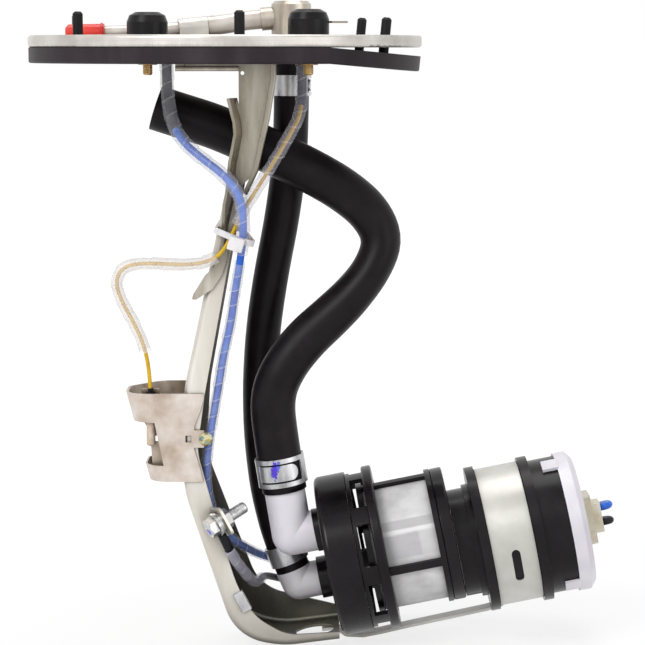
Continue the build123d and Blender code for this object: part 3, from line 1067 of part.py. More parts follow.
def make_filter():
    """Filter cap with its two ports, lock ring with windows, cage, mesh and end ring."""
    cap = tube(FILTER_CAP_R, 0, 0, FILTER_CAP_L)
    cap = fillet(cap.faces().sort_by(Axis.Z)[0].edges(), FILTER_CAP_ROUND)
    cap -= tube(FILTER_CAP_R - FILTER_CAP_WALL, 0, FILTER_CAP_FACE_T, FILTER_CAP_L + 1)
    for port, length in ((RETURN_PORT, RETURN_PORT_L), (DELIVERY_PORT, DELIVERY_PORT_L)):
        at = Pos(port[0], port[1], 0)
        cap += at * tube(PORT_R, 0, -length, FILTER_CAP_WALL)
        cap -= at * tube(PORT_BORE_R, 0, -length - 1, FILTER_CAP_L)
        groove = Torus(PORT_BORE_R + PORT_SEAL_R + SEAL_GAP, PORT_SEAL_R + SEAL_GROOVE_GAP)
        cap -= at * Pos(0, 0, FILTER_CAP_WALL / 2) * groove
    save("filter_cap", FILTER_PLANE * cap)

    start, wall_end, end = LOCK_RING_S
    ring = tube(LOCK_RING_R, CAGE_R + LOCK_RING_GAP, wall_end, end)
    ring = fillet([e for e in ring.edges().filter_by(GeomType.CIRCLE) if e.radius > LOCK_RING_R - 0.01],
                  LOCK_RING_ROUND)
    wall = tube(WINDOW_WALL_R, WINDOW_WALL_R - WINDOW_WALL_T, start, wall_end)
    low_inset, high_inset = WINDOW_INSET
    window = tube(2 * WINDOW_WALL_R, WINDOW_WALL_R / 2, start + low_inset + WINDOW_SHIFT,
                  wall_end - high_inset + WINDOW_SHIFT)
    window = window & wedge(3 * WINDOW_WALL_R, -WINDOW_DEG / 2, WINDOW_DEG / 2, THROUGH)
    for cutter in around(window, WINDOW_COUNT, WINDOW_FIRST_DEG):
        wall -= cutter
    save("lock_ring", FILTER_PLANE * (ring + wall))

    low, high = CAGE_S
    r_in = CAGE_R - CAGE_WALL
    cage = tube(CAGE_R, r_in, low, low + CAGE_HOOP_W) + tube(CAGE_R, r_in, high - CAGE_HOOP_W, high)
    rib = Pos(CAGE_R - CAGE_WALL / 2, 0, (low + high) / 2) * Box(CAGE_WALL, CAGE_RIB_W, high - low)
    rib = rib & (tube(CAGE_R, r_in, low, high))
    for copy in around(rib, CAGE_RIB_COUNT, CAGE_RIB_FIRST_DEG):
        cage += copy
    floor = tube(CAGE_R, CAGE_FLOOR_R, low, low + CAGE_FLOOR_T)
    cage += floor - Pos(-PUMP_DROP, 0, 0) * Cylinder(CAN_R + CAGE_FLOOR_GAP, THROUGH)
    mesh_r = r_in - MESH_GAP
    save("filter_mesh", FILTER_PLANE * tube(mesh_r, mesh_r - MESH_T, low + CAGE_FLOOR_T + MESH_END_GAP,
                                            high - MESH_END_GAP))
    low, high = END_RING_S
    end_ring = tube(END_RING_R, 0, low, high) - Pos(-PUMP_DROP, 0, 0) * Cylinder(HOUSING_BORE_R, THROUGH)
    end_ring = fillet([e for e in end_ring.edges().filter_by(GeomType.CIRCLE)
                       if e.radius > END_RING_R - 0.01], END_RING_ROUND)
    save("filter_cage", FILTER_PLANE * (cage + end_ring))


def make_housing():
    """Housing round the pump, rubber sleeve inside it, and the white end cap with the connector."""
    s = HOUSING_S
    housing = turned([(HOUSING_BORE_R, s["neck"]), (NECK_R, s["neck"]), (NECK_R, s["lip"]), (HOUSING_LIP_R, s["lip"]),
                      (HOUSING_LIP_R, s["flange"]), (HOUSING_FLANGE_R, s["flange"]), (HOUSING_FLANGE_R, s["drum"]),
                      (HOUSING_DRUM_R, s["drum"]), (HOUSING_DRUM_R, s["rear"]), (HOUSING_FLANGE_R, s["rear"]),
                      (HOUSING_FLANGE_R, s["tail"]), (HOUSING_DRUM_R, s["tail"]), (HOUSING_DRUM_R, s["end"]),
                      (HOUSING_DRUM_R - HOUSING_WALL, s["end"]), (HOUSING_DRUM_R - HOUSING_WALL, s["drum"] + HOUSING_WALL),
                      (HOUSING_BORE_R, s["drum"] + HOUSING_WALL)])
    save("pump_housing", PUMP_PLANE * housing)
    low = s["drum"] + SLEEVE_AT
    sleeve = tube(HOUSING_DRUM_R - HOUSING_WALL - ASSEMBLY_GAP, CAN_R + ASSEMBLY_GAP, low, low + SLEEVE_LENGTH)
    hole = Pos(HOUSING_DRUM_R - SLEEVE_HOLE_INSET, 0, low) * Cylinder(SLEEVE_HOLE_R, 3 * SLEEVE_LENGTH)
    for copy in around(hole, SLEEVE_HOLE_COUNT, 180 / SLEEVE_HOLE_COUNT):
        sleeve -= copy
    save("isolator_ring", PUMP_PLANE * sleeve)

    start = s["end"] + CAP_SEAT_GAP
    end = start + END_CAP_L
    chamfer_r, chamfer_s = END_CAP_CHAMFER
    cap = turned([(0, start), (END_CAP_R, start), (END_CAP_R, end - chamfer_s), (END_CAP_R - chamfer_r, end), (0, end)])
    cap -= tube(END_CAP_R - END_CAP_WALL, 0, start - 1, end - END_CAP_WALL)
    thick, wide, tall = HOOK_SIZE
    hook = Pos(HOUSING_DRUM_R + ASSEMBLY_GAP + thick / 2, 0, start - HOOK_INSET) * Box(thick, wide, tall)
    hook -= Pos(0, 0, start) * Cylinder(HOUSING_DRUM_R + ASSEMBLY_GAP, 4 * tall)
    for copy in around(hook, HOOK_COUNT, HOOK_FIRST_DEG):
        cap += copy
    slot_r, slot_l, slot_w = END_SLOT
    for copy in around(Pos(slot_r, 0, end) * Box(slot_l, slot_w, END_CAP_L), END_SLOT_COUNT, 180 / END_SLOT_COUNT):
        cap -= copy
    width, depth, height = CONNECTOR_SIZE
    step_n, step_y, step_l = CONNECTOR_STEP
    cap -= Pos(0, 0, end) * Box(step_n, step_y, END_CAP_L)
    save("pump_end_cap", PUMP_PLANE * cap)

    base = Pos(0, 0, end + height / 2) * Box(width, depth, height)
    base = fillet(base.edges().filter_by(Axis.Z), CONNECTOR_ROUND)
    base += Pos(0, 0, end + height + step_l / 2) * Box(step_n, step_y, step_l)
    plug_gap = 2 * CONNECTOR_PLUG_GAP
    base += Pos(0, 0, end - CONNECTOR_PLUG_L / 2) * Box(step_n - plug_gap, step_y - plug_gap, CONNECTOR_PLUG_L)
    save("pump_connector", PUMP_PLANE * base)


def make_pump():
    """Electric pump inside the housing: can, motor, impeller and valves."""
    low, high = CAN_S
    inner = CAN_R - CAN_T
    save("pump_can", PUMP_PLANE * tube(CAN_R, inner, low, high))
    fit_r = inner - ASSEMBLY_GAP

    start, end = OUTLET_PLATE_S
    plate = tube(fit_r, 0, low, end) + tube(fit_r - OUTLET_SHOULDER, 0, start, low)
    plate += tube(NOZZLE_R, 0, NOZZLE_S, start)
    plate -= tube(BUSH_R + ASSEMBLY_GAP, 0, BUSH_S, end + 1)
    plate -= tube(VALVE_BORE_R, 0, NOZZLE_S + GUIDE_T, SEAT_S)
    plate -= tube(VALVE_SEAT_R, 0, SEAT_S - 0.5, CHANNEL_S)
    plate -= Pos(0, CHANNEL_REACH / 2, CHANNEL_S) * Rot(90, 0, 0) * Cylinder(CHANNEL_R, CHANNEL_REACH)
    plate -= Pos(0, CHANNEL_REACH, 0) * tube(CHANNEL_R, 0, CHANNEL_S, end + 1)
    for copy in around(Pos(VALVE_SPRING_R + SPRING_WIRE / 2, 0, NOZZLE_S) * Cylinder(GUIDE_HOLE_R, 4 * GUIDE_T),
                       GUIDE_HOLE_COUNT):
        plate -= copy
    relief = tube(RELIEF_BORE_R, 0, start + RELIEF_LIP_T, RELIEF_SEAT_S)
    relief += tube(RELIEF_LIP_R, 0, start - 1, start + 1) + tube(RELIEF_PORT_R, 0, RELIEF_SEAT_S - 1, end + 1)
    plate -= Pos(RELIEF_AT_R, 0, 0) * relief
    save("outlet_plate", PUMP_PLANE * plate)

    face = SEAT_S - VALVE_GAP
    head = face - VALVE_HEAD_L
    valve = turned([(0, head - VALVE_STEM_L), (VALVE_STEM_R, head - VALVE_STEM_L), (VALVE_STEM_R, head),
                    (VALVE_R, head), (VALVE_R, face - VALVE_CONE_L), (VALVE_CONE_R, face), (0, face)])
    save("check_valve", PUMP_PLANE * valve)
    low_s, high_s = NOZZLE_S + GUIDE_T + VALVE_GAP, head - VALVE_TRAVEL
    springs = [PUMP_PLANE * coil(VALVE_SPRING_R, SPRING_WIRE, low_s, high_s, 2)]
    ball_s = RELIEF_SEAT_S - math.sqrt(RELIEF_BALL_R ** 2 - RELIEF_PORT_R ** 2) - RELIEF_GAP
    save("relief_ball", PUMP_PLANE * Pos(RELIEF_AT_R, 0, ball_s) * Sphere(RELIEF_BALL_R))
    springs.append(PUMP_PLANE * Pos(RELIEF_AT_R, 0, 0)
                   * coil(RELIEF_SPRING_R, SMALL_SPRING_WIRE, start + RELIEF_LIP_T, ball_s - RELIEF_BALL_R - RELIEF_TRAVEL, 2))
    save("valve_springs", Compound(children=springs))

    bush = tube(BUSH_R, SHAFT_R + RUNNING_GAP, 0, BUSH_L)
    near_gap, far_gap = BUSH_END_GAP
    save("shaft_bushes", Compound(children=[PUMP_PLANE * Pos(0, 0, BUSH_S + near_gap) * bush,
                                            PUMP_PLANE * Pos(0, 0, DISCHARGE_PLATE_S[0] + far_gap) * bush]))
    shaft = tube(SHAFT_R, 0, *SHAFT_S)
    save("rotor_shaft", PUMP_PLANE * shaft)
    core = tube(ARMATURE_R, SHAFT_R, *ARMATURE_S)
    slot = Pos(ARMATURE_R, 0, 0) * Box(2 * SLOT_DEPTH, SLOT_W, THROUGH)
    pocket = Pos(ARMATURE_R - POCKET_INSET, 0, 0) * Cylinder(POCKET_R, THROUGH)
    for copy in around(slot + pocket, ARMATURE_SLOTS):
        core -= copy
    save("armature", PUMP_PLANE * core)
    commutator = tube(COMMUTATOR_R, SHAFT_R, *COMMUTATOR_S)
    cut_depth, cut_width = COMMUTATOR_CUT
    cut = Pos(COMMUTATOR_R, 0, 0) * Box(2 * cut_depth, cut_width, THROUGH)
    for copy in around(cut, ARMATURE_SLOTS):
        commutator -= copy
    save("commutator", PUMP_PLANE * commutator)
    arc = tube(inner - ASSEMBLY_GAP, MAGNET_IN_R, *MAGNET_S)
    sector = wedge(3 * CAN_R, -MAGNET_DEG / 2, MAGNET_DEG / 2, THROUGH)
    magnets = [PUMP_PLANE * (arc & (Rot(0, 0, turn) * sector)) for turn in (0, 180)]
    save("field_magnets", Compound(children=magnets))

    start, end = BRUSH_HOLDER_S
    holder = tube(fit_r, COMMUTATOR_R + BRUSH_HOLDER_GAP, start, end)
    length, width, height = BRUSH_SIZE
    pocket_r, pocket_l = BRUSH_POCKET
    pocket = Pos(pocket_r, 0, (start + end) / 2) * Box(pocket_l, width + 2 * BRUSH_GAP, height + 2 * BRUSH_GAP)
    for copy in around(pocket, 2):
        holder -= copy
    save("brush_holder", PUMP_PLANE * holder)
    brush = Pos(COMMUTATOR_R + BRUSH_GAP + length / 2, 0, (start + end) / 2) * Box(length, width, height)
    save("brushes", Compound(children=[PUMP_PLANE * copy for copy in around(brush, 2)]))
    spring = Pos(0, 0, (start + end) / 2) * Rot(0, 90, 0) * \
        coil(BRUSH_SPRING_R, SMALL_SPRING_WIRE, COMMUTATOR_R + BRUSH_GAP + length, COMMUTATOR_R + BRUSH_SPRING_END, 3)
    save("brush_springs", Compound(children=[PUMP_PLANE * copy for copy in around(spring, 2)]))

    start, end = DISCHARGE_PLATE_S
    discharge = tube(fit_r, 0, start, end)
    port_at, port_r = DISCHARGE_PORT
    discharge -= tube(BUSH_R + ASSEMBLY_GAP, 0, start - 1, start + far_gap + BUSH_L + ASSEMBLY_GAP)
    discharge -= Cylinder(SHAFT_R + WHEEL_GAP, THROUGH)
    discharge -= Pos(0, port_at, 0) * Cylinder(port_r, THROUGH)
    save("discharge_plate", PUMP_PLANE * discharge)
    low_i, high_i = IMPELLER_S
    wheel = tube(IMPELLER_R, SHAFT_R, low_i, high_i)
    gap_depth, gap_width = BLADE_GAP_SIZE
    gap = Pos(IMPELLER_R, 0, 0) * Box(2 * gap_depth, gap_width, THROUGH)
    for copy in around(gap, BLADE_COUNT):
        wheel -= copy
    save("impeller", PUMP_PLANE * wheel)
    start, end = INLET_PLATE_S
    inlet = turned([(0, DISCHARGE_PLATE_S[1]), (fit_r, DISCHARGE_PLATE_S[1]), (fit_r, end), (INLET_NOZZLE_R, end),
                    (INLET_NOZZLE_R, INLET_NOZZLE_S), (0, INLET_NOZZLE_S)])
    inlet -= tube(IMPELLER_R + WHEEL_GAP, 0, DISCHARGE_PLATE_S[1] - 1, start)
    inlet -= tube(SHAFT_R + WHEEL_GAP, 0, start - 1, SHAFT_S[1] + WHEEL_GAP)
    inlet -= Pos(INLET_AT_R, 0, 0) * tube(INLET_BORE_R, 0, start - 1, end + 1)
    save("inlet_plate", PUMP_PLANE * inlet)


def coil(mean_r, wire, low, high, turns):
    """Compression spring about Z, of square wire, without ground ends."""
    pitch = (high - low - wire) / turns
    path = Helix(pitch=pitch, height=high - low - wire, radius=mean_r)
    path = Pos(0, 0, low + wire / 2) * path
    section = Plane(origin=path @ 0, z_dir=path % 0) * Rectangle(wire * 0.8, wire * 0.8)
    return sweep(section, path, is_frenet=True)


def wrap_round(name, route, runs, r_out, r_in):
    """Wrap round a lead, from the middle of one of its runs to the middle of another."""
    first, last = runs
    corners = [Vector(*p) for p in route]
    points = [(corners[first] + corners[first + 1]) / 2] + corners[first + 1:last + 1]
    points.append((corners[last] + corners[last + 1]) / 2)
    return hose(name, points, r_out, r_in, bend_radii(route)[first:last])


def make_wires():
    """Leads with their clear wrap, the cable tie and the wire clip."""
    pin_s = HOUSING_S["end"] + CAP_SEAT_GAP + END_CAP_L + CONNECTOR_SIZE[2] + CONNECTOR_STEP[2]
    pin_n, pin_y = PIN_AT
    upper_pin = PUMP_PLANE.from_local_coords(Vector(pin_n, -pin_y, pin_s))
    lower_pin = PUMP_PLANE.from_local_coords(Vector(-pin_n, pin_y, pin_s))
    down = Vector(0, 0, -LUG_RUN)
    start = lug_end("left")
    supply = [start, start + down, *SUPPLY_ROUTE, upper_pin + AXIS * PIN_RUN, upper_pin]
    start = lug_end("right")
    sender = [start, start + down, *SENDER_ROUTE]
    _, start, heading = earth_lug()
    earth = [start, start + heading * EARTH_RUN, *EARTH_ROUTE, lower_pin + AXIS * PIN_RUN, lower_pin]
    save("pump_leads", Compound(children=[hose("supply lead", supply, PUMP_LEAD_R, 0),
                                          hose("earth lead", earth, PUMP_LEAD_R, 0)]))
    save("sender_lead", hose("sender_lead", sender, LEAD_WIRE_R, 0))
    save("sensor_lead", hose("sensor_lead", SENSOR_ROUTE, LEAD_WIRE_R, 0))
    lead_in = PUMP_LEAD_R + PUMP_WRAP_GAP
    wire_in = LEAD_WIRE_R + SENDER_WRAP_GAP
    wraps = [wrap_round("supply wrap", supply, SUPPLY_WRAP_RUNS, SUPPLY_WRAP_R, lead_in),
             wrap_round("pump wrap", supply, PUMP_WRAP_RUNS, PUMP_WRAP_R, lead_in),
             wrap_round("earth wrap", earth, EARTH_WRAP_RUNS, PUMP_WRAP_R, lead_in),
             wrap_round("sender wrap", sender, SENDER_WRAP_RUNS, SENDER_WRAP_R, wire_in)]
    save("lead_wraps", Compound(children=wraps))
    save("sensor_lead_wrap", wrap_round("sensor_lead_wrap", SENSOR_ROUTE, SENSOR_WRAP_RUNS, SENDER_WRAP_R,
                                        wire_in))

    inside = make_face(FilletPolyline(*TIE_LOOP, radius=TIE_CORNER_R, close=True))
    outside = offset(inside, TIE_T, kind=Kind.ARC)
    tie = extrude(outside - inside, TIE_W / 2, both=True)
    head_x, head_y, head_z = TIE_HEAD
    front = min(y for _, y in TIE_LOOP) - TIE_T
    at_x, sunk, at_z = TIE_HEAD_AT
    head = Pos(at_x, front - head_y / 2 + sunk, at_z) * Box(head_x, head_y, head_z)
    head = fillet(head.edges(), TIE_HEAD_ROUND)
    save("cable_tie", Pos(*TIE_AT) * Rot(0, TIE_TILT_DEG, 0) * (tie + head))

    (x0, z0), (x1, z1) = NEAR_LIP[4], NEAR_LIP[5]
    along = Vector(x1 - x0, 0, z1 - z0).normalized()
    middle = Vector((x0 + x1) / 2, -CHANNEL_W / 2 + SHEET_T / 2, (z0 + z1) / 2)
    frame = Plane(origin=middle, x_dir=along, z_dir=(0, -1, 0))
    inward = -1 if frame.to_local_coords(middle + Vector(1, 0, 0)).Y > 0 else 1
    block = Pos(0, inward * (WIRE_CLIP_DEPTH / 2 - WIRE_CLIP_T), 0) * \
        Box(WIRE_CLIP_LENGTH, WIRE_CLIP_DEPTH, SHEET_T + 2 * WIRE_CLIP_T)
    slot = Pos(0, inward * WIRE_CLIP_DEPTH, 0) * \
        Box(WIRE_CLIP_LENGTH + 2, 2 * WIRE_CLIP_DEPTH + 0.4, SHEET_T + 2 * ASSEMBLY_GAP)
    save("wire_clip", frame * (block - slot))


os.makedirs("parts", exist_ok=True)
make_flange()
make_tower()
terminal_lugs, terminal_nuts = make_terminals()
make_channel()
make_bracket()
make_band()
make_fasteners(terminal_lugs, terminal_nuts)
make_guard()
make_hoses()
make_elbows()
make_filter()
make_housing()
make_pump()
make_wires()
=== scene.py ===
"""Looks of the fuel pump module: materials for its CAD pieces, and the hose, leads, clear wrap, pump band
and threads that are shaped here. Metres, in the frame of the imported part: +Z up out of the tank, the pump
along +X. Routes and other lists of places are in millimetres.
"""
import json
import math

import bmesh
import bpy
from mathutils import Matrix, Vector


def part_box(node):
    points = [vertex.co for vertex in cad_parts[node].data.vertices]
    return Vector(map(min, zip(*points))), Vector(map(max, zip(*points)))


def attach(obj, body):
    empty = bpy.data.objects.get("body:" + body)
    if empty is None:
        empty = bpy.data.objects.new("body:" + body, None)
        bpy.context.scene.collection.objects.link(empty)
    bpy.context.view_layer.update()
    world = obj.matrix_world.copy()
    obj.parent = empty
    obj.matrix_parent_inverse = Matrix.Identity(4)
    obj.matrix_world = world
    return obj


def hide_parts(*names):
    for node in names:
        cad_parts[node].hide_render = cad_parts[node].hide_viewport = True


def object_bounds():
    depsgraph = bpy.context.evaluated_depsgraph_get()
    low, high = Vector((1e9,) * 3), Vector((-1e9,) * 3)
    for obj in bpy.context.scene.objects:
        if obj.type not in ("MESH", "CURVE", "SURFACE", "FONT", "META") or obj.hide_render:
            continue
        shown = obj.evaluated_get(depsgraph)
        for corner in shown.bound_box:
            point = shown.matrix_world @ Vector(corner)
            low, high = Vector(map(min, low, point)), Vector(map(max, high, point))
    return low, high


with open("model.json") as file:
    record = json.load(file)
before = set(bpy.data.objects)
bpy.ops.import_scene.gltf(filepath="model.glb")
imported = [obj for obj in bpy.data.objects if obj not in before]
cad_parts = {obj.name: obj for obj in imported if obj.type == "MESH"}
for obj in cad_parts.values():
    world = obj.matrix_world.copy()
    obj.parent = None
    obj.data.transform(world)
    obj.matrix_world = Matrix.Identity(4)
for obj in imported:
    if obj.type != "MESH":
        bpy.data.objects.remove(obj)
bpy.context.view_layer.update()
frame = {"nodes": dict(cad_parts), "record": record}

MM = 0.001
UM = 0.000001
BODY = "module"

# Camera: level with the flange, pitched down to the pump
CAMERA_AT = (0.0417, -0.9, 0.0)
CAMERA_PITCH_DEG = 7.553
CAMERA_LENS = 115.76

# The pump's axis, read from the joint that it turns on, the way up from it, and the point on it that lengths
# along it start from
SPIN = next(j for j in frame["record"]["behaviour"]["joints"] if j["name"] == "pump_rotor_spin")
AXIS = Vector(SPIN["axis"]).normalized()
if AXIS.x < 0:
    AXIS = -AXIS
UPWARD = Vector((-AXIS.z, 0, AXIS.x))
FILTER_AT = Vector((44.3, 0, -224.2)) * MM

# Return hose, from its clamp to its cut end
RETURN_ROUTE = [(25.1, -9, -192), (21.6, -9, -170.5), (19.4, -9.6, -151), (24.8, -9.5, -137.4),
                (34.5, -8.5, -125.2), (45.6, -7, -115.4), (55.2, -5.5, -106), (63.8, -4, -94.8),
                (68.2, -2.5, -82.5), (62.5, -1.5, -70.8), (51.5, -0.5, -61.6), (38.5, 0, -54),
                (24, 0.5, -46.9), (9, 1, -39.8), (-5.5, 1, -33.6), (-18.5, 1, -29.6),
                (-30.3, 1, -25.8)]
RETURN_R = 9.75 * MM
RETURN_BORE_R = 6.4 * MM
HOSE_STEP = 2.5 * MM
HOSE_SIDES = 44
BORE_RINGS = 10

# Where the return hose is a little flat: its place and span as shares of the length, and by how much
PINCH_AT = 0.47
PINCH_SPAN = 0.10
PINCH = 0.13
PINCH_WIDENS = 1.5

# Sensor lead, from the cable tie to the sensor
SENSOR_ROUTE = [(3.4, -22.4, -78.5), (0.04, -22.48, -85.78), (-6.6, -23.4, -90.2), (-15.6, -24, -91.5),
                (-25.6, -24.6, -91), (-35.4, -24.8, -90.6), (-43.4, -24.4, -92.4), (-46.4, -23.8, -99),
                (-44, -22.8, -107), (-39.2, -21.6, -116), (-35.6, -19.6, -124.6),
                (-33.5, -17.2, -133.4), (-32.6, -15.4, -145.6), (-32.6, -15.4, -157.6)]
SENSOR_R = 0.85 * MM

# Pump leads, from the terminal and from the earth bolt to the pump's connector, and the sender's lead
SUPPLY_ROUTE = [(-24.5, -12, -9.6), (-24.5, -12, -15.5), (-23.8, -13.6, -23.2), (-22, -16.4, -32),
                (-17.6, -20.4, -39.4), (-9.6, -24.4, -46), (1, -27.6, -53.6), (7.6, -28.6, -62.6),
                (8.4, -28, -73), (8, -26.8, -81), (6.4, -22.6, -92), (4.2, -17, -104),
                (2.2, -14, -118), (-1.2, -13, -132), (-3.4, -13, -146), (-6, -12.6, -160),
                (-8.3, -12, -174), (-9.4, -10.4, -188), (-7.2, -8.4, -202), (-0.5, -4, -214),
                (7, 5, -221), (12.6, 16, -227), (22, 26.5, -232.5), (35, 34, -239), (51, 39, -243),
                (72, 41.4, -240.4), (95, 41.6, -233.6), (118, 41, -226.6), (139, 39.8, -219.6),
                (152, 38.6, -215), (161, 34.5, -211), (166.4, 27.5, -207.6), (168.6, 20, -205),
                (169.4, 12.5, -202.9), (169.6, 5.4, -201.6), (168.07, 1.5, -201.59),
                (164.45, 1.5, -202.32)]
EARTH_ROUTE = [(0.41, -21.64, -213.75), (2.21, -20.63, -218.08), (5.4, -15.2, -224.4),
               (8.6, -8.8, -230.9), (11.2, -1.5, -235.6), (13.4, 7, -237), (15.2, 17, -237),
               (20.4, 26.8, -240.6), (33, 35, -246), (50, 40.6, -250.4), (71, 43, -247.6),
               (94, 43.2, -240.8), (117, 42.6, -233.8), (139, 41.6, -227), (151, 40, -222.4),
               (159.4, 36.8, -218.6), (165.6, 30.6, -215.8), (168.4, 21.5, -212.6), (169.4, 12, -210),
               (169.8, 4, -208.2), (169.26, -1.5, -207.47), (165.63, -1.5, -208.2)]
SENDER_ROUTE = [(33.03, -12.39, -9.6), (33.03, -12.39, -15.5), (32.9, -13.2, -22.5), (32, -14.8, -29),
                (27.6, -17.9, -37), (21.4, -21, -47.6), (14.4, -22.2, -58.6), (7.6, -22.3, -69.4),
                (3.4, -22.4, -78.5)]
PUMP_LEAD_R = 1.6 * MM
LEAD_STEP = 2 * MM
LEAD_SIDES = 18

# Upper ends of two leads with the crimped barrels of their lugs, which sleeve and wrap go over
SUPPLY_COVER = [(-24.5, -12, -5.4)] + SUPPLY_ROUTE[1:11]
SENDER_COVER = [(33.03, -12.39, -5.4)] + SENDER_ROUTE[1:]

# Clear spiral wrap: what it covers, in runs of a route, its radius, its pitch, where its turns begin and
# its material
WRAPS = [("supply_wrap", SUPPLY_COVER, (0.05, 9.5), 2.95, 7.2, 0.1, "clear_wrap"),
         ("pump_wrap", SUPPLY_ROUTE, (9.9, 23.0), 2.4, 7.2, 0.6, "clear_wrap"),
         ("earth_wrap", EARTH_ROUTE, (0.5, 5.5), 2.4, 6.6, 0.3, "milky_wrap"),
         ("sender_wrap", SENDER_COVER, (0.05, 7.6), 2.6, 7.4, 0.4, "clear_wrap")]
SENSOR_WRAP = ("sensor_wrap", SENSOR_ROUTE, (1.5, 10.5), 2.6, 7.4, 0.2, "pale_wrap")

# Strip of the wrap: steps along and round it, its width and edge as shares of the pitch, how far its turns
# lie over each other, and its unevenness
WRAP_STEP = 0.6 * MM
WRAP_SIDES = 26
WRAP_FILL = 0.965
WRAP_EDGE = 0.026
WRAP_SHINGLE = 0.3 * MM
WRAP_UNEVEN = 0.10 * MM
WRAP_WAVE = 2.3

# Black sleeves at the upper ends of two leads, inside the wrap: the run they end at and their radius.
# The earth lug's sleeve: its two ends and its radius
SLEEVES = [("supply_sleeve", SUPPLY_COVER, 3.3, 2.1), ("sender_sleeve", SENDER_COVER, 2.3, 2.0)]
EARTH_BARREL = ((-1.9, -22.9, -208.2), (1.2, -21.2, -215.6), 2.3)
BARREL_STEPS = 4
BARREL_SIDES = 6

# Threads: where their shanks are, where each thread starts and ends along its shank, the shank's radius and
# the pitch, all in millimetres
BOLT_AT = Vector((-4.6, -24.4, -204.4))
BOLT_DIR = Vector((0.80, 0.42, 0.43)).normalized()
BOLT_THREAD = (7.2, 15.3)
BOLT_R, BOLT_PITCH = 2.5, 0.8
STUDS = {"left": (-32.6, -12.0), "right": (35.8, -20.0)}
STUD_THREAD = (-11.1, -7.6)
STUD_R, STUD_PITCH = 2.0, 0.7
THREAD_H = 0.16
THREAD_SUNK = 0.15
THREAD_HALF = 0.42
THREAD_SIDES = 20

# Band round the pump, which lies lower than the filter's axis: its inside, thickness and ends along the
# pump, and its slot with rounded ends. Faces of the CAD piece within its slack belong to the ring
PUMP_DROP = 5.3
PUMP_AT = FILTER_AT - UPWARD * PUMP_DROP * MM
BAND_R = 29.75 * MM
BAND_T = 0.8 * MM
BAND_S = (70.8 * MM, 89.6 * MM)
BAND_SIDES = 160
SLOT_S = 80.6 * MM
SLOT_TURN_DEG = 105
SLOT_W = 3.8 * MM
SLOT_LENGTH = 15 * MM
SLOT_STEPS = 12
SHARP_DEG = 35
BAND_SLACK = 0.1 * MM

# Points of a mesh that are nearer to each other than this are one point
MERGE = 1e-7

# How finely a route's line is read, and the same for the sensor lead and how round its section is
LINE_FINENESS = 12
WIRE_FINENESS = 16
WIRE_ROUNDNESS = 5

# Tones of a surface: where on the soft noise the first one lies, and how far from it the last one
TONES_START = 0.32
TONES_REACH = 0.36
GLOW_DEPTH = 2 * MM

# Painted shade in folds and corners: samples, and the openness between which they stop being dark
PAINTED_SHADE_SAMPLES = 8
PAINTED_SHADE_FADE = (0.25, 0.95)

# Marks on the flange's rim: its two levels, then the upright lines (how fine and how long, their detail, the
# values between which they show, how strong they are, and the shares of the rim's height between which they
# fade) and the line round its middle (its share of the height, half its width, edge and strength)
FLANGE_LOW, FLANGE_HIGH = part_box("mounting_flange")
RIM_LINES_SCALE = 1500
RIM_LINES_STRETCH = (1, 1, 0.04)
RIM_LINES_DETAIL = (3.0, 0.6)
RIM_LINES_SHOW = (0.45, 0.62)
RIM_LINES_MOST = (0.75, 0.6)
RIM_LINES_FADE = (0.1, 0.5)
RIM_LINES_TONE = (0.40, 0.37, 0.34)
RIM_MIDDLE = 0.52
RIM_MIDDLE_WIDTH = (0.05 * MM, 0.12 * MM)
RIM_MIDDLE_MOST = 0.35
RIM_MIDDLE_TONE = (0.45, 0.42, 0.39)

# Shades on the filter's fabric. Bars: middle, half width and edge up from the pump's axis, strength and tone.
# Boxes: the same height and strength for each, then middle and half length along the axis in millimetres, and
# tone. The strainer's black start ends between two places along the axis
SHADE_BARS = [((13.6 * MM, 1.5 * MM, 0.6 * MM), 0.6, (0.42, 0.41, 0.42)),
              ((10.9 * MM, 0.5 * MM, 0.5 * MM), 0.7, (0.93, 0.92, 0.93))]
SHADE_BOX = (4.6 * MM, 4.6 * MM, 0.7 * MM)
SHADE_BOX_EDGE = 0.6 * MM
SHADE_BOX_MOST = 0.62
SHADE_BOXES = [(33.8, 7.4, (0.44, 0.43, 0.45)), (46.0, 4.4, (0.60, 0.59, 0.60))]
FABRIC_STARTS = (26.0 * MM, 26.3 * MM)
FABRIC_START_TONE = (0.012, 0.011, 0.012)

# Weave of the fabric: how fine, how uneven, how deep and how strong
WEAVE_SCALE = 420
WEAVE_UNEVEN = 0.4
WEAVE_DEPTH = 60 * UM
WEAVE_STRENGTH = 0.5

# Paint marks: their colour, how fine and how strong their ragged outline is, and where it ends
BLUE_MARK = (0.10, 0.06, 0.58)
DAUB_SCALE = 1100
DAUB_RAGGED = 1.3
DAUB_ENDS = (1.35, 1.5)

# Grey plating of the hanger bolt's nut and earth lug, which share a node with brass and copper pieces
BOLT_ZINC = (0.42, 0.42, 0.41)

# Soft boxes: place, what they point at, size and power
LAMPS = {"key": ((-0.7, -1.1, 0.7), (0.03, 0, -0.1), (0.7, 0.7), 13),
         "fill": ((1.1, -0.9, 0.1), (0.03, 0, -0.15), (0.8, 1.0), 3.5),
         "top": ((0.1, 0.2, 1.2), (0.03, 0, -0.1), (0.8, 0.8), 7)}
WORLD_LIGHT = 0.36

# Floor: half its size, its gap under the part, how bright it shows, and how much of it shows as plain
# white near its middle and far away, and what counts as near and far
FLOOR_HALF = 6.0
FLOOR_GAP = 0.5 * MM
FLOOR_GLOW = 1.08
FLOOR_PLAIN = (0.72, 1.0)
FLOOR_REACH = (0.12, 0.45)
FLOOR_MIDDLE_X = 0.04


def new_object(name, data):
    """New object in the scene."""
    made = bpy.data.objects.new(name, data)
    bpy.context.scene.collection.objects.link(made)
    return made


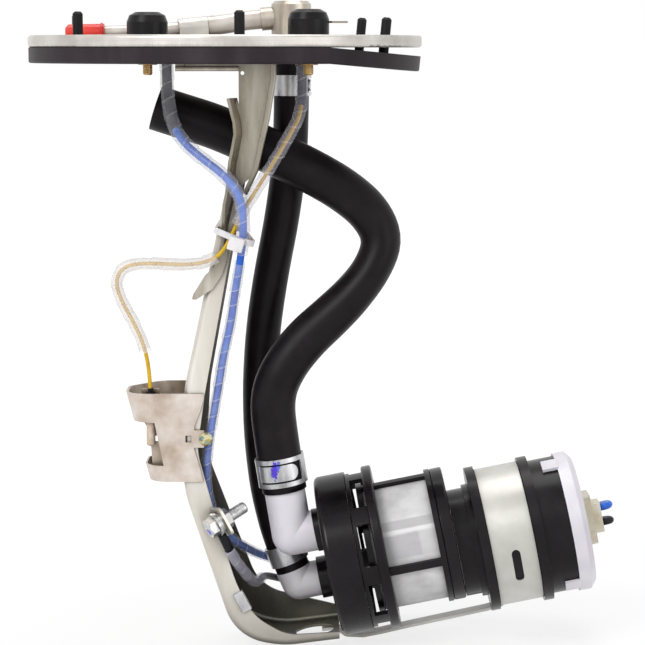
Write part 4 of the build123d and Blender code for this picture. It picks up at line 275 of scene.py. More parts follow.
def node_tree(name):
    """New node material: its tree, its shader and the coordinates in the row frame."""
    mat = bpy.data.materials.new(name)
    mat.use_nodes = True
    tree = mat.node_tree
    shader = tree.nodes["Principled BSDF"]
    coords = tree.nodes.new("ShaderNodeTexCoord")
    return mat, tree, shader, coords.outputs["Object"]


def placed(tree, coords, scale=(1, 1, 1), turn=0.0, shift=(0, 0, 0)):
    """Coordinates scaled, turned about Y and shifted."""
    mapping = tree.nodes.new("ShaderNodeMapping")
    mapping.inputs["Scale"].default_value = scale
    mapping.inputs["Rotation"].default_value = (0, turn, 0)
    mapping.inputs["Location"].default_value = shift
    tree.links.new(coords, mapping.inputs["Vector"])
    return mapping.outputs["Vector"]


def noise(tree, coords, scale, detail=4.0, roughness=0.55):
    """Noise value on coordinates."""
    node = tree.nodes.new("ShaderNodeTexNoise")
    node.inputs["Scale"].default_value = scale
    node.inputs["Detail"].default_value = detail
    node.inputs["Roughness"].default_value = roughness
    tree.links.new(coords, node.inputs["Vector"])
    return node.outputs["Fac"]


def ramp(tree, value, stops):
    """Colours along a value: a list of (place, colour)."""
    node = tree.nodes.new("ShaderNodeValToRGB")
    elements = node.color_ramp.elements
    for index, (place, colour) in enumerate(stops):
        element = elements[index] if index < 2 else elements.new(place)
        element.position = place
        element.color = (*colour, 1.0)
    tree.links.new(value, node.inputs["Fac"])
    return node.outputs["Color"]


def spread(tree, value, low, high, start=0.3, end=0.7):
    """Maps a value from start to end onto low to high."""
    node = tree.nodes.new("ShaderNodeMapRange")
    for name, number in (("From Min", start), ("From Max", end), ("To Min", low), ("To Max", high)):
        node.inputs[name].default_value = number
    tree.links.new(value, node.inputs["Value"])
    return node.outputs["Result"]


def arithmetic(tree, operation, first, second):
    """One step of arithmetic on two sockets or numbers."""
    node = tree.nodes.new("ShaderNodeMath")
    node.operation = operation
    for socket, value in zip(node.inputs, (first, second)):
        if isinstance(value, (int, float)):
            socket.default_value = value
        else:
            tree.links.new(value, socket)
    return node.outputs[0]


def mixed(tree, share, below, colour):
    """A colour laid over another one by a share. The node's colours are inputs 6 and 7 and output 2."""
    node = tree.nodes.new("ShaderNodeMix")
    node.data_type = "RGBA"
    tree.links.new(share, node.inputs["Factor"])
    tree.links.new(below, node.inputs[6])
    node.inputs[7].default_value = (*colour, 1.0)
    return node.outputs[2]


def axes_of(tree, coords):
    """The three separate coordinates."""
    node = tree.nodes.new("ShaderNodeSeparateXYZ")
    tree.links.new(coords, node.inputs[0])
    return node.outputs


def pulse(tree, value, middle, half, soft):
    """1 within half of the middle of a value, and 0 outside, with a soft edge."""
    away = arithmetic(tree, "ABSOLUTE", arithmetic(tree, "SUBTRACT", value, middle), 0.0)
    return spread(tree, away, 1.0, 0.0, half, half + soft)


def seen_directly(tree):
    """1 for what the camera sees, straight or through something shiny or clear, and 0 for other light."""
    rays = tree.nodes.new("ShaderNodeLightPath")
    seen = arithmetic(tree, "MAXIMUM", rays.outputs["Is Camera Ray"], rays.outputs["Is Glossy Ray"])
    return arithmetic(tree, "MAXIMUM", seen, rays.outputs["Is Transmission Ray"])


def distance(tree, coords):
    """Distance from the origin of coordinates."""
    node = tree.nodes.new("ShaderNodeVectorMath")
    node.operation = "LENGTH"
    tree.links.new(coords, node.inputs[0])
    return node.outputs["Value"]


def bump(tree, value, depth, strength=1.0, below=None):
    """Bump of a depth in metres, on top of another bump."""
    node = tree.nodes.new("ShaderNodeBump")
    node.inputs["Strength"].default_value = strength
    node.inputs["Distance"].default_value = depth
    tree.links.new(value, node.inputs["Height"])
    if below is not None:
        tree.links.new(below, node.inputs["Normal"])
    return node.outputs["Normal"]


def daub(centre, size, colour):
    """A paint mark: an egg-shaped patch with a ragged outline, in millimetres."""
    def lay(tree, coords, below):
        inverse = [1 / (value * MM) for value in size]
        local = placed(tree, coords, inverse, shift=[-c / s for c, s in zip(centre, size)])
        ragged = arithmetic(tree, "MULTIPLY", noise(tree, coords, DAUB_SCALE, 3.0), DAUB_RAGGED)
        reach = arithmetic(tree, "ADD", distance(tree, local), ragged)
        return mixed(tree, spread(tree, reach, 1.0, 0.0, *DAUB_ENDS), below, colour)
    return lay


def rim_marks(tree, coords, below):
    """Fine upright lines low on the flange's rim, and the faint line round its middle."""
    height = FLANGE_HIGH.z - FLANGE_LOW.z
    level = axes_of(tree, coords)[2]
    lines = noise(tree, placed(tree, coords, RIM_LINES_STRETCH), RIM_LINES_SCALE, *RIM_LINES_DETAIL)
    fade = [FLANGE_LOW.z + share * height for share in RIM_LINES_FADE]
    band = spread(tree, level, RIM_LINES_MOST[0], 0.0, *fade)
    shown = spread(tree, lines, 0.0, RIM_LINES_MOST[1], *RIM_LINES_SHOW)
    colour = mixed(tree, arithmetic(tree, "MULTIPLY", band, shown), below, RIM_LINES_TONE)
    middle = pulse(tree, level, FLANGE_LOW.z + RIM_MIDDLE * height, *RIM_MIDDLE_WIDTH)
    return mixed(tree, arithmetic(tree, "MULTIPLY", middle, RIM_MIDDLE_MOST), colour, RIM_MIDDLE_TONE)


def filter_shades(tree, coords, below):
    """Bars of the strainer's frame that show grey through its fabric, and its black start."""
    along, _, up = axes_of(tree, placed(tree, coords, turn=math.atan2(AXIS.z, AXIS.x),
                                        shift=(-FILTER_AT.dot(AXIS), 0, -FILTER_AT.dot(UPWARD))))
    colour = below
    for place, most, tone in SHADE_BARS:
        colour = mixed(tree, arithmetic(tree, "MULTIPLY", pulse(tree, up, *place), most), colour, tone)
    for middle, half, tone in SHADE_BOXES:
        box = arithmetic(tree, "MULTIPLY", pulse(tree, up, *SHADE_BOX),
                         pulse(tree, along, middle * MM, half * MM, SHADE_BOX_EDGE))
        colour = mixed(tree, arithmetic(tree, "MULTIPLY", box, SHADE_BOX_MOST), colour, tone)
    hidden = spread(tree, along, 1.0, 0.0, *FABRIC_STARTS)
    return mixed(tree, hidden, colour, FABRIC_START_TONE)


def painted_crease_shade(shade, reach, most=0.8):
    """Painted shade: darkens the colour of what lies deep in a fold or corner towards a shade colour. The
    reach is in millimetres.
    """
    def lay(tree, coords, below):
        node = tree.nodes.new("ShaderNodeAmbientOcclusion")
        node.samples = PAINTED_SHADE_SAMPLES
        node.inputs["Distance"].default_value = reach * MM
        return mixed(tree, spread(tree, node.outputs["AO"], most, 0.0, *PAINTED_SHADE_FADE), below, shade)
    return lay


def low_down(level, colour):
    """Another colour below a level, in millimetres."""
    def lay(tree, coords, below):
        share = spread(tree, axes_of(tree, coords)[2], 1.0, 0.0, level * MM, (level + 1) * MM)
        return mixed(tree, share, below, colour)
    return lay


def boxed(centre, half, colour):
    """Another colour inside a box, in millimetres."""
    def lay(tree, coords, below):
        share = 1.0
        for value, middle, reach in zip(axes_of(tree, coords), centre, half):
            inside = pulse(tree, value, middle * MM, reach * MM, MM / 20)
            share = arithmetic(tree, "MULTIPLY", inside, share)
        return mixed(tree, share, below, colour)
    return lay


def weave(tree, coords):
    """Height of a fine square weave."""
    waves = []
    for direction in ("X", "Z"):
        node = tree.nodes.new("ShaderNodeTexWave")
        node.bands_direction = direction
        node.inputs["Scale"].default_value = WEAVE_SCALE
        node.inputs["Distortion"].default_value = WEAVE_UNEVEN
        tree.links.new(coords, node.inputs["Vector"])
        waves.append(node.outputs["Fac"])
    return arithmetic(tree, "MULTIPLY", *waves)


def surface(name, tones, rough, metallic=0.0, blotch=60.0, tone_stretch=(1, 1, 1), grain=1200.0, grain_um=4.0,
            stretch=(1, 1, 1), subsurface=0.0, specular=0.5, alpha=1.0, over=(), woven=False):
    """Painted, moulded or metal surface: tones and gloss mixed by soft blotches, over a fine grain."""
    mat, tree, shader, coords = node_tree(name)
    soft = noise(tree, placed(tree, coords, tone_stretch), blotch, 5.0)
    spots = [TONES_START + TONES_REACH * index / (len(tones) - 1) for index in range(len(tones))]
    colour = ramp(tree, soft, list(zip(spots, tones)))
    for lay in over:
        colour = lay(tree, coords, colour)
    tree.links.new(colour, shader.inputs["Base Color"])
    tree.links.new(spread(tree, soft, *rough), shader.inputs["Roughness"])
    normal = bump(tree, noise(tree, placed(tree, coords, stretch), grain, 3.0), grain_um * UM)
    if woven:
        normal = bump(tree, weave(tree, coords), WEAVE_DEPTH, WEAVE_STRENGTH, normal)
    tree.links.new(normal, shader.inputs["Normal"])
    shader.inputs["Metallic"].default_value = metallic
    shader.inputs["Specular IOR Level"].default_value = specular
    shader.inputs["Alpha"].default_value = alpha
    if subsurface:
        shader.inputs["Subsurface Weight"].default_value = subsurface
        shader.inputs["Subsurface Scale"].default_value = GLOW_DEPTH
    return mat


# Each crease layer in these finishes is painted shade: it darkens the colour of folds, corners and hollows.
FINISHES = {
    "flange_steel": dict(
        tones=[(0.50, 0.47, 0.43), (0.62, 0.59, 0.55), (0.72, 0.69, 0.66)], rough=(0.30, 0.44),
        metallic=0.6, stretch=(1, 1, 0.2), grain=500,
        over=(rim_marks, painted_crease_shade((0.25, 0.23, 0.20), 8, 0.7))),
    "hanger_steel": dict(
        tones=[(0.60, 0.55, 0.47), (0.72, 0.68, 0.61), (0.83, 0.80, 0.75)], rough=(0.26, 0.38),
        metallic=0.6, blotch=30, tone_stretch=(1.6, 1.6, 0.3), grain=700, grain_um=2,
        over=(painted_crease_shade((0.07, 0.064, 0.046), 40, 0.95),)),
    # The bracket's steel is the hanger's steel with darker, more olive tones: painted shade for the bracket's
    # shadowed inside.
    "shaded_bracket_steel": dict(
        tones=[(0.26, 0.23, 0.17), (0.46, 0.42, 0.35), (0.70, 0.66, 0.59)], rough=(0.24, 0.36),
        metallic=0.7, blotch=42, tone_stretch=(2.2, 1, 0.35), grain=700, grain_um=0.4,
        over=(painted_crease_shade((0.07, 0.062, 0.046), 22, 0.9),)),
    "guard_steel": dict(
        tones=[(0.46, 0.37, 0.29), (0.63, 0.54, 0.47), (0.76, 0.70, 0.65)], rough=(0.28, 0.42),
        metallic=0.65, blotch=80, grain=700, grain_um=2, over=(painted_crease_shade((0.22, 0.16, 0.10), 16, 0.85),)),
    "band_steel": dict(
        tones=[(0.47, 0.46, 0.42), (0.56, 0.55, 0.51), (0.66, 0.65, 0.62)], rough=(0.32, 0.44),
        metallic=0.65, blotch=40, grain=1000, stretch=(6, 0.4, 0.4), grain_um=2,
        over=(painted_crease_shade((0.16, 0.15, 0.13), 10, 0.7),)),
    "clamp_steel": dict(
        tones=[(0.30, 0.30, 0.31), (0.55, 0.55, 0.56), (0.80, 0.80, 0.82)], rough=(0.22, 0.36),
        metallic=0.75, blotch=150, tone_stretch=(1, 1, 0.4), grain=700, grain_um=2,
        over=(daub((20.9, -20, -181.5), (2.2, 3, 5.4), BLUE_MARK),
              daub((22.6, -20, -179.5), (1.2, 3, 2.4), (0.12, 0.16, 0.68)))),
    "bolt_steel": dict(
        tones=[(0.34, 0.34, 0.34), (0.58, 0.58, 0.58), (0.82, 0.82, 0.81)], rough=(0.20, 0.32),
        metallic=0.8, blotch=260, grain=700, grain_um=2,
        over=(painted_crease_shade((0.10, 0.10, 0.10), 3, 0.9), daub((-7.4, -26.5, -207.4), (2.0, 4, 2.0), BLUE_MARK))),
    "zinc_yellow": dict(
        tones=[(0.10, 0.22, 0.42), (0.40, 0.42, 0.18), (0.76, 0.72, 0.50), (0.50, 0.38, 0.10),
               (0.24, 0.38, 0.36)], rough=(0.16, 0.28), metallic=0.85, blotch=260, grain=700, grain_um=2),
    "gasket_rubber": dict(
        tones=[(0.017, 0.012, 0.015), (0.026, 0.019, 0.023), (0.040, 0.032, 0.037)], rough=(0.42, 0.58),
        blotch=70, tone_stretch=(1, 1, 0.2), grain=900, grain_um=8, stretch=(1, 1, 0.12), specular=0.16),
    "hose_rubber": dict(
        tones=[(0.005, 0.0038, 0.0045), (0.008, 0.0058, 0.007), (0.014, 0.0095, 0.012)],
        rough=(0.34, 0.50), blotch=80, grain=1000, grain_um=4, specular=0.15),
    "boot_rubber": dict(
        tones=[(0.005, 0.0048, 0.0052), (0.008, 0.007, 0.008), (0.013, 0.011, 0.013)], rough=(0.26, 0.4),
        blotch=110, grain=900, grain_um=1, specular=0.18,
        over=(boxed((50.6, -20, 10.6), (4.9, 3, 0.7), (0.34, 0.30, 0.24)),)),
    "seal_rubber": dict(
        tones=[(0.006, 0.006, 0.0065), (0.016, 0.014, 0.016)], rough=(0.4, 0.55), specular=0.15),
    "black_plastic": dict(
        tones=[(0.004, 0.003, 0.0038), (0.0065, 0.0046, 0.006), (0.012, 0.0085, 0.011)],
        rough=(0.2, 0.32), blotch=55, grain=600, grain_um=2, specular=0.2),
    "grey_plastic": dict(
        tones=[(0.10, 0.10, 0.10), (0.19, 0.19, 0.19)], rough=(0.35, 0.5)),
    "white_plastic": dict(
        tones=[(0.70, 0.67, 0.73), (0.77, 0.74, 0.80), (0.83, 0.81, 0.85)], rough=(0.28, 0.4), blotch=45,
        subsurface=0.15, grain_um=2, over=(painted_crease_shade((0.40, 0.38, 0.42), 8, 0.6),)),
    "ivory_plastic": dict(
        tones=[(0.62, 0.55, 0.39), (0.72, 0.67, 0.52), (0.80, 0.77, 0.66)], rough=(0.3, 0.42),
        blotch=150, subsurface=0.15, grain_um=2),
    "red_plastic": dict(
        tones=[(0.56, 0.020, 0.012), (0.72, 0.034, 0.020), (0.80, 0.06, 0.04)], rough=(0.26, 0.38),
        blotch=120, subsurface=0.1, grain_um=2),
    "white_nylon": dict(
        tones=[(0.70, 0.68, 0.70), (0.78, 0.76, 0.78), (0.84, 0.83, 0.84)], rough=(0.3, 0.42),
        blotch=180, subsurface=0.2, grain_um=3, over=(painted_crease_shade((0.45, 0.44, 0.45), 4, 0.6),)),
    "wire_blue": dict(
        tones=[(0.015, 0.11, 0.60), (0.025, 0.16, 0.72), (0.05, 0.23, 0.82)], rough=(0.3, 0.42),
        blotch=120, grain_um=2, specular=0.3),
    "wire_black": dict(
        tones=[(0.005, 0.005, 0.006), (0.012, 0.011, 0.014)], rough=(0.3, 0.44), blotch=150,
        specular=0.2, grain_um=2),
    "wire_yellow": dict(
        tones=[(0.62, 0.34, 0.005), (0.72, 0.44, 0.008), (0.78, 0.52, 0.015)], rough=(0.3, 0.42),
        blotch=160, grain_um=2, specular=0.3),
    "brass": dict(
        tones=[(0.30, 0.18, 0.06), (0.50, 0.32, 0.12), (0.68, 0.48, 0.22)], rough=(0.22, 0.36),
        metallic=0.8, blotch=300, grain=700, grain_um=2,
        over=(painted_crease_shade((0.08, 0.04, 0.015), 3, 0.8), low_down(-150, BOLT_ZINC))),
    "copper": dict(
        tones=[(0.30, 0.13, 0.07), (0.46, 0.22, 0.13), (0.60, 0.34, 0.22)], rough=(0.22, 0.38),
        metallic=0.8, blotch=260, grain=700, grain_um=2, over=(low_down(-150, BOLT_ZINC),)),
    "tower_steel": dict(
        tones=[(0.36, 0.31, 0.25), (0.52, 0.47, 0.40), (0.68, 0.64, 0.57)], rough=(0.26, 0.4),
        metallic=0.7, blotch=110, tone_stretch=(1, 1, 0.25), grain=600, grain_um=0.4,
        over=(painted_crease_shade((0.16, 0.13, 0.10), 10, 0.8),)),
    "tube_plastic": dict(
        tones=[(0.44, 0.39, 0.33), (0.56, 0.51, 0.46), (0.68, 0.64, 0.60)], rough=(0.26, 0.38),
        metallic=0.5, blotch=60, grain=500, grain_um=0.4, over=(painted_crease_shade((0.18, 0.15, 0.12), 10, 0.8),)),
    "can_steel": dict(
        tones=[(0.6, 0.6, 0.6), (0.75, 0.75, 0.75)], rough=(0.25, 0.4), metallic=0.85),
    "shaft_steel": dict(
        tones=[(0.5, 0.5, 0.52), (0.65, 0.65, 0.67)], rough=(0.15, 0.25), metallic=0.9),
    "magnet": dict(
        tones=[(0.05, 0.05, 0.055), (0.09, 0.09, 0.095)], rough=(0.45, 0.6)),
    "core_steel": dict(
        tones=[(0.22, 0.21, 0.21), (0.34, 0.33, 0.33)], rough=(0.35, 0.5), metallic=0.7),
    "spring_steel": dict(
        tones=[(0.5, 0.5, 0.52), (0.66, 0.66, 0.68)], rough=(0.2, 0.3), metallic=0.9),
    "carbon": dict(
        tones=[(0.02, 0.02, 0.02), (0.05, 0.05, 0.05)], rough=(0.5, 0.65)),
    "sensor_bead": dict(
        tones=[(0.42, 0.31, 0.22), (0.58, 0.46, 0.36), (0.74, 0.64, 0.54)], rough=(0.3, 0.42),
        blotch=200, subsurface=0.1, grain_um=2),
    "die_cast": dict(
        tones=[(0.5, 0.5, 0.51), (0.66, 0.66, 0.67)], rough=(0.35, 0.5), metallic=0.8),
    "mesh_nylon": dict(
        tones=[(0.56, 0.55, 0.56), (0.70, 0.69, 0.70), (0.82, 0.81, 0.82)], rough=(0.5, 0.65), blotch=75,
        tone_stretch=(1, 1, 1.6), over=(filter_shades, painted_crease_shade((0.3, 0.3, 0.3), 6)), woven=True,
        specular=0.2),
    "clear_wrap": dict(
        tones=[(0.50, 0.50, 0.62), (0.62, 0.62, 0.72), (0.74, 0.74, 0.80)], rough=(0.14, 0.3),
        blotch=240, grain_um=6, alpha=0.27),
    "milky_wrap": dict(
        tones=[(0.60, 0.58, 0.72), (0.70, 0.68, 0.80), (0.80, 0.78, 0.86)], rough=(0.14, 0.3),
        blotch=240, grain_um=6, alpha=0.45),
    "pale_wrap": dict(
        tones=[(0.80, 0.76, 0.74), (0.88, 0.85, 0.83), (0.93, 0.91, 0.90)], rough=(0.14, 0.3),
        blotch=240, grain_um=6, alpha=0.38),
    "wrap_edge": dict(
        tones=[(0.74, 0.73, 0.76), (0.86, 0.85, 0.88)], rough=(0.16, 0.3), blotch=240, alpha=0.7),
}
MATERIALS = {name: surface(name, **finish) for name, finish in FINISHES.items()}
# Own finishes of some nodes; the hanger bracket's darker steel is painted shade.
OWN_FINISH = {"hanger_bracket": "shaded_bracket_steel", "hose_clamps": "clamp_steel", "hanger_bolt": "bolt_steel",
              "bolt_washers": "bolt_steel", "wire_clip": "clamp_steel"}


def dress():
    """Gives every CAD node the material of its slot, or its own finish."""
    for part in frame["record"]["subparts"]:
        node = frame["nodes"][part["node"]]
        mat = MATERIALS[OWN_FINISH.get(part["node"], part["material_slot"])]
        if not node.material_slots:
            node.data.materials.append(mat)
        for slot in node.material_slots:
            slot.material = mat


def add_mesh(name, points, faces, mats, kinds=None):
    """Smooth mesh piece from points and faces in the row frame, riding on the module."""
    mesh = bpy.data.meshes.new(name)
    mesh.from_pydata([tuple(p) for p in points], [], faces)
    for mat in mats:
        mesh.materials.append(mat)
    if kinds:
        mesh.polygons.foreach_set("material_index", kinds)
    mesh.polygons.foreach_set("use_smooth", [True] * len(mesh.polygons))
    work = bmesh.new()
    work.from_mesh(mesh)
    bmesh.ops.remove_doubles(work, verts=work.verts, dist=MERGE)
    bmesh.ops.recalc_face_normals(work, faces=work.faces)
    work.to_mesh(mesh)
    work.free()
    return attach(new_object(name, mesh), BODY)


def route_curve(name, points, fineness):
    """Smooth curve that a route steers."""
    curve = bpy.data.curves.new(name, "CURVE")
    curve.dimensions = "3D"
    curve.resolution_u = fineness
    spline = curve.splines.new("NURBS")
    spline.points.add(len(points) - 1)
    for place, point in zip(spline.points, points):
        place.co = (*[value * MM for value in point], 1.0)
    spline.order_u = 3
    spline.use_endpoint_u = True
    return curve


def smooth_line(points):
    """Points of the smooth line that a route steers, read from its curve."""
    probe = bpy.data.objects.new("route", route_curve("route", points, LINE_FINENESS))
    mesh = bpy.data.meshes.new_from_object(probe)
    line = [v.co.copy() for v in mesh.vertices]
    bpy.data.objects.remove(probe)
    bpy.data.meshes.remove(mesh)
    return line


def even_line(line, step):
    """The same line with points at even steps along it."""
    lengths = [0.0]
    for a, b in zip(line, line[1:]):
        lengths.append(lengths[-1] + (b - a).length)
    count = max(2, round(lengths[-1] / step))
    made, place = [], 0
    for index in range(count + 1):
        want = lengths[-1] * index / count
        while place < len(line) - 2 and lengths[place + 1] < want:
            place += 1
        part = (want - lengths[place]) / max(lengths[place + 1] - lengths[place], 1e-9)
        made.append(line[place].lerp(line[place + 1], min(part, 1.0)))
    return made


def covered(route, runs, step):
    """The part of a route's line between two places, in runs of the route, at even steps."""
    line = even_line(smooth_line(route), step)
    ends = []
    for run in runs:
        place = Vector(route[int(run)]).lerp(Vector(route[int(run) + 1]), run % 1) * MM
        ends.append(min(range(len(line)), key=lambda index: (line[index] - place).length))
    return line[ends[0]:ends[1] + 1]


def frames_along(line):
    """At each point of a line: the point, its heading and two sideways vectors that don't twist."""
    frames = []
    side = None
    for index, point in enumerate(line):
        ahead = (line[min(index + 1, len(line) - 1)] - line[max(index - 1, 0)]).normalized()
        if side is None:
            side = ahead.orthogonal().normalized()
        side = (side - ahead * side.dot(ahead)).normalized()
        frames.append((point, ahead, side, ahead.cross(side)))
    return frames


def tube_mesh(name, line, radius, mat, sides, bore=0.0, swell=None):
    """Tube along a line. A bore shows at its far end. swell(share, outward) scales the radius."""
    rings, faces, points = [], [], []
    places = frames_along(line)
    last = len(places) - 1

    def ring(index, size):
        at, _, side, across = places[index]
        row = []
        for step in range(sides):
            angle = 2 * math.pi * step / sides
            outward = side * math.cos(angle) + across * math.sin(angle)
            row.append(len(points))
            points.append(at + outward * size * (swell(index / last, outward) if swell else 1.0))
        rings.append(row)

    for index in range(last + 1):
        ring(index, radius)
    if bore:
        for index in range(last, max(last - BORE_RINGS, 0), -1):
            ring(index, bore)
    for a, b in zip(rings, rings[1:]):
        for index in range(sides):
            after = (index + 1) % sides
            faces.append((a[index], a[after], b[after], b[index]))
    faces.append(tuple(rings[0]))
    faces.append(tuple(rings[-1]))
    return add_mesh(name, points, faces, [mat])


def spiral_wrap(name, route, runs, radius, pitch, phase, mat):
    """Clear strip wound round a route, each turn a little proud of the next, with a narrow gap between."""
    line = covered(route, runs, WRAP_STEP)
    radius, pitch = radius * MM, pitch * MM
    places = frames_along(line)
    last = len(places) - 1
    step = (line[1] - line[0]).length
    turns = last * step / pitch
    half = WRAP_FILL / 2
    offsets = (-half, -half + WRAP_EDGE, -half / 2, 0, half / 2, half - WRAP_EDGE, half)
    points, faces, kinds, rows = [], [], [], []
    for index in range(int((turns + 1) * WRAP_SIDES) + 1):
        turn = index / WRAP_SIDES - 0.5
        angle = 2 * math.pi * (turn + phase)
        row = []
        for offset in offsets:
            want = min(max((turn + offset) * pitch / step, 0), last)
            low = min(int(want), last - 1)
            at = places[low][0].lerp(places[low + 1][0], want - low)
            _, _, side, across = places[low]
            uneven = WRAP_UNEVEN * math.sin(WRAP_WAVE * turn + 7 * phase)
            reach = radius + WRAP_SHINGLE * offset + uneven
            row.append(len(points))
            points.append(at + (side * math.cos(angle) + across * math.sin(angle)) * reach)
        rows.append(row)
    for a, b in zip(rows, rows[1:]):
        for k in range(len(offsets) - 1):
            corners = [points[i] for i in (a[k], a[k + 1], b[k + 1], b[k])]
            if (corners[0] - corners[1]).length > 1e-6 and (corners[2] - corners[3]).length > 1e-6:
                faces.append((a[k], a[k + 1], b[k + 1], b[k]))
                kinds.append(1 if k in (0, len(offsets) - 2) else 0)
    return add_mesh(name, points, faces, [MATERIALS[mat], MATERIALS["wrap_edge"]], kinds=kinds)


def make_return_hose():
    """Thick hose that stands up from its clamp to a free cut end, a little flat where it bends most."""
    line = even_line(smooth_line(RETURN_ROUTE), HOSE_STEP)

    def swell(share, outward):
        flat = PINCH * math.exp(-((share - PINCH_AT) / PINCH_SPAN) ** 2)
        return 1.0 - flat + PINCH_WIDENS * flat * outward.y ** 2

    hose = tube_mesh("return_hose_rubber", line, RETURN_R, MATERIALS["hose_rubber"], HOSE_SIDES,
                     RETURN_BORE_R, swell)
    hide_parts("return_hose")


def make_sensor_lead():
    """Yellow lead that hangs from the cable tie to the level sensor, in its wrap."""
    wrap = spiral_wrap(*SENSOR_WRAP)
    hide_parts("sensor_lead_wrap")
    curve = route_curve("sensor_lead_wire", SENSOR_ROUTE, WIRE_FINENESS)
    curve.bevel_depth = SENSOR_R
    curve.bevel_resolution = WIRE_ROUNDNESS
    curve.use_fill_caps = True
    curve.materials.append(MATERIALS["wire_yellow"])
    wire = new_object("sensor_lead_wire", curve)
    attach(wire, BODY)
    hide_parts("sensor_lead")


def on_band(radius, angle, along):
    """Point of the band: an angle round the pump's axis, from its top towards the camera."""
    outward = UPWARD * math.cos(angle) - Vector((0, 1, 0)) * math.sin(angle)
    return PUMP_AT + AXIS * along + outward * radius


def band_ring():
    """Points and faces of the band without its slot."""
    points, faces = [], []
    low, high = BAND_S
    corners = [(BAND_R, low), (BAND_R + BAND_T, low), (BAND_R + BAND_T, high), (BAND_R, high)]
    for side in range(BAND_SIDES):
        points += [on_band(radius, 2 * math.pi * side / BAND_SIDES, along) for radius, along in corners]
        after = (side + 1) % BAND_SIDES
        for corner in range(4):
            other = (corner + 1) % 4
            faces.append((4 * side + corner, 4 * side + other, 4 * after + other, 4 * after + corner))
    return points, faces


def slot_plug():
    """Points and faces of the body that cuts the slot: rounded ends, and longer than the band is thick."""
    outline = []
    for end in (1, -1):
        for step in range(SLOT_STEPS + 1):
            turn = math.pi * step / SLOT_STEPS
            outline.append((end * (SLOT_LENGTH - SLOT_W) / 2 + end * SLOT_W / 2 * math.sin(turn),
                            end * SLOT_W / 2 * math.cos(turn)))
    count = len(outline)
    points = [on_band(radius, math.radians(SLOT_TURN_DEG) + across / BAND_R, SLOT_S + along)
              for radius in (BAND_R - 2 * BAND_T, BAND_R + 3 * BAND_T) for across, along in outline]
    faces = [tuple(range(count)), tuple(range(2 * count - 1, count - 1, -1))]
    faces += [(k, (k + 1) % count, count + (k + 1) % count, count + k) for k in range(count)]
    return points, faces


def make_band():
    """The pump's band with its slot where the photo has it, and the arm of the CAD piece."""
    arm = bmesh.new()
    node = frame["nodes"]["pump_band"]
    arm.from_mesh(node.data)
    arm.transform(node.matrix_world)

    def in_ring(place):
        along = (place - PUMP_AT).dot(AXIS)
        away = (place - PUMP_AT - AXIS * along).length
        return (BAND_S[0] - BAND_SLACK < along < BAND_S[1] + BAND_SLACK
                and away < BAND_R + BAND_T + BAND_SLACK)

    ring_faces = [face for face in arm.faces if all(in_ring(corner.co) for corner in face.verts)]
    bmesh.ops.delete(arm, geom=ring_faces, context="FACES")
    bmesh.ops.remove_doubles(arm, verts=arm.verts, dist=MERGE)
    bmesh.ops.holes_fill(arm, edges=[edge for edge in arm.edges if edge.is_boundary], sides=0)
    piece, plug = [add_mesh(name, points, faces, [MATERIALS["band_steel"]])
                   for name, (points, faces) in (("slotted_band", band_ring()), ("slot_plug", slot_plug()))]
    cut = piece.modifiers.new("slot", "BOOLEAN")
    cut.operation, cut.solver, cut.object = "DIFFERENCE", "EXACT", plug
    view = bpy.context.evaluated_depsgraph_get()
    view.update()
    arm.from_mesh(bpy.data.meshes.new_from_object(piece.evaluated_get(view)))
    piece.modifiers.clear()
    bpy.data.objects.remove(plug)
    for face in arm.faces:
        face.smooth = True
    arm.to_mesh(piece.data)
    arm.free()
    piece.data.set_sharp_from_angle(angle=math.radians(SHARP_DEG))
    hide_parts("pump_band")


def make_leads():
    """Blue supply lead and black earth lead, the sleeves on the leads, and the wrap round them."""
    for name, route, mat in (("supply_lead", SUPPLY_ROUTE, "wire_blue"),
                             ("earth_lead", EARTH_ROUTE, "wire_black")):
        line = even_line(smooth_line(route), LEAD_STEP)
        lead = tube_mesh(name, line, PUMP_LEAD_R, MATERIALS[mat], LEAD_SIDES)
        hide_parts("pump_leads")
    for name, route, end, radius in SLEEVES:
        line = covered(route, (0, end), MM)
        tube_mesh(name, line, radius * MM, MATERIALS["wire_black"], LEAD_SIDES)
    start, end, radius = EARTH_BARREL
    line = [Vector(start).lerp(Vector(end), step / BARREL_STEPS) * MM for step in range(BARREL_STEPS + 1)]
    sleeve = tube_mesh("earth_sleeve", line, radius * MM, MATERIALS["wire_black"], BARREL_SIDES)
    for row in WRAPS:
        wrap = spiral_wrap(*row)
        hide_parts("lead_wraps")


def thread(name, start, axis, radius, pitch, length, mat):
    """Ridge wound round a shank."""
    side = axis.orthogonal().normalized()
    across = axis.cross(side)
    count = int(length / pitch * THREAD_SIDES)
    points, faces = [], []
    for index in range(count + 1):
        angle = 2 * math.pi * index / THREAD_SIDES
        outward = side * math.cos(angle) + across * math.sin(angle)
        at = start + axis * (length * index / count)
        fade = min(1.0, index / THREAD_SIDES, (count - index) / THREAD_SIDES)
        foot, flank = at + outward * (radius - THREAD_SUNK), axis * pitch * THREAD_HALF
        points += [foot - flank, at + outward * (radius + THREAD_H * fade), foot + flank]
    for index in range(count):
        a, b = 3 * index, 3 * index + 3
        for k in range(3):
            after = (k + 1) % 3
            faces.append((a + k, a + after, b + after, b + k))
    faces += [(0, 1, 2), (3 * count, 3 * count + 1, 3 * count + 2)]
    piece = add_mesh(name, [p * MM for p in points], faces, [MATERIALS[mat]])


def make_threads():
    """Threads of the hanger bolt and of the terminal studs."""
    low, high = BOLT_THREAD
    thread("bolt_thread", BOLT_AT + BOLT_DIR * low, BOLT_DIR, BOLT_R, BOLT_PITCH, high - low,
           "bolt_steel")
    low, high = STUD_THREAD
    for side, (x, y) in STUDS.items():
        thread(side + "_stud_thread", Vector((x, y, low)), Vector((0, 0, 1)), STUD_R, STUD_PITCH, high - low,
               "brass")


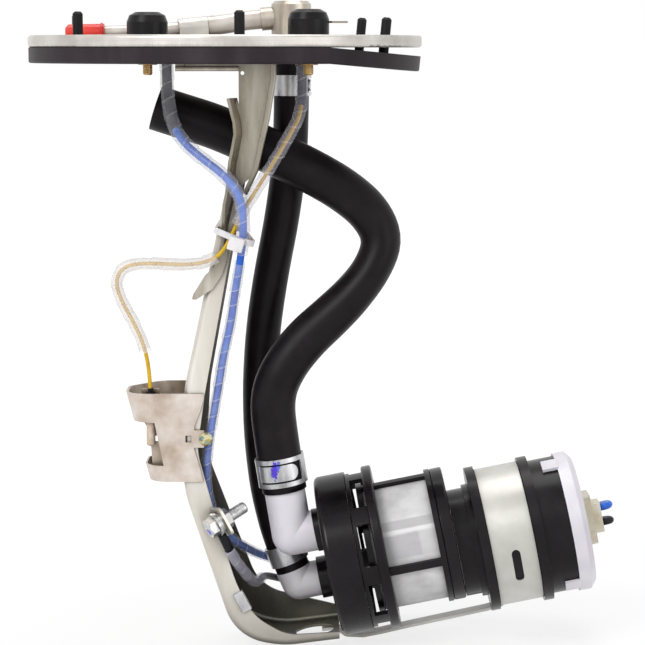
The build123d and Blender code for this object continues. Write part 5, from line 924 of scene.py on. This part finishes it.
def make_stage():
    """Pale floor that shows as white, far away as bright as the surroundings, and keeps the shadow."""
    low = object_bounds()[0].z - FLOOR_GAP
    mesh = bpy.data.meshes.new("floor")
    corners = [(x * FLOOR_HALF, y * FLOOR_HALF, low) for x, y in ((-1, -1), (1, -1), (1, 1), (-1, 1))]
    mesh.from_pydata(corners, [], [(0, 1, 2, 3)])
    floor = new_object("floor", mesh)
    mat, tree, shader, coords = node_tree("floor_paper")
    shader.inputs["Base Color"].default_value = (0.93, 0.93, 0.93, 1)
    shader.inputs["Roughness"].default_value = 0.9
    shader.inputs["Specular IOR Level"].default_value = 0.0
    glow = tree.nodes.new("ShaderNodeEmission")
    glow.inputs["Strength"].default_value = FLOOR_GLOW
    away = distance(tree, placed(tree, coords, (1, 1, 0), shift=(-FLOOR_MIDDLE_X, 0, 0)))
    share = spread(tree, away, *FLOOR_PLAIN, *FLOOR_REACH)
    mix = tree.nodes.new("ShaderNodeMixShader")
    tree.links.new(arithmetic(tree, "MULTIPLY", seen_directly(tree), share), mix.inputs["Fac"])
    tree.links.new(shader.outputs[0], mix.inputs[1])
    tree.links.new(glow.outputs[0], mix.inputs[2])
    tree.links.new(mix.outputs[0], tree.nodes["Material Output"].inputs["Surface"])
    mesh.materials.append(mat)


def area_lamp(name, place, aim, size, power):
    """Soft box that points at a place."""
    lamp = bpy.data.lights.new(name, "AREA")
    lamp.shape = "RECTANGLE"
    lamp.size, lamp.size_y = size
    lamp.energy = power
    holder = new_object(name, lamp)
    holder.location = place
    holder.rotation_euler = (Vector(aim) - Vector(place)).to_track_quat("-Z", "Y").to_euler()


def make_light():
    """White surroundings and three soft boxes."""
    world = bpy.data.worlds.new("studio")
    bpy.context.scene.world = world
    world.use_nodes = True
    tree = world.node_tree
    back = tree.nodes["Background"]
    back.inputs["Color"].default_value = (1, 1, 1, 1)
    strength = spread(tree, seen_directly(tree), WORLD_LIGHT, 1.0, 0.0, 1.0)
    tree.links.new(strength, back.inputs["Strength"])
    for name, row in LAMPS.items():
        area_lamp(name, *row)


def make_camera():
    """Camera at the photograph's viewing angle."""
    camera = bpy.data.cameras.new("camera")
    camera.lens = CAMERA_LENS
    camera.sensor_width = 36.0
    camera.clip_start = 0.05
    holder = new_object("camera", camera)
    holder.location = CAMERA_AT
    holder.rotation_euler = (math.radians(90 - CAMERA_PITCH_DEG), 0, 0)
    bpy.context.scene.camera = holder


make_camera()
make_return_hose()
make_sensor_lead()
make_leads()
make_band()
make_threads()
dress()
make_light()
make_stage()
bpy.context.scene.view_settings.view_transform = "Standard"
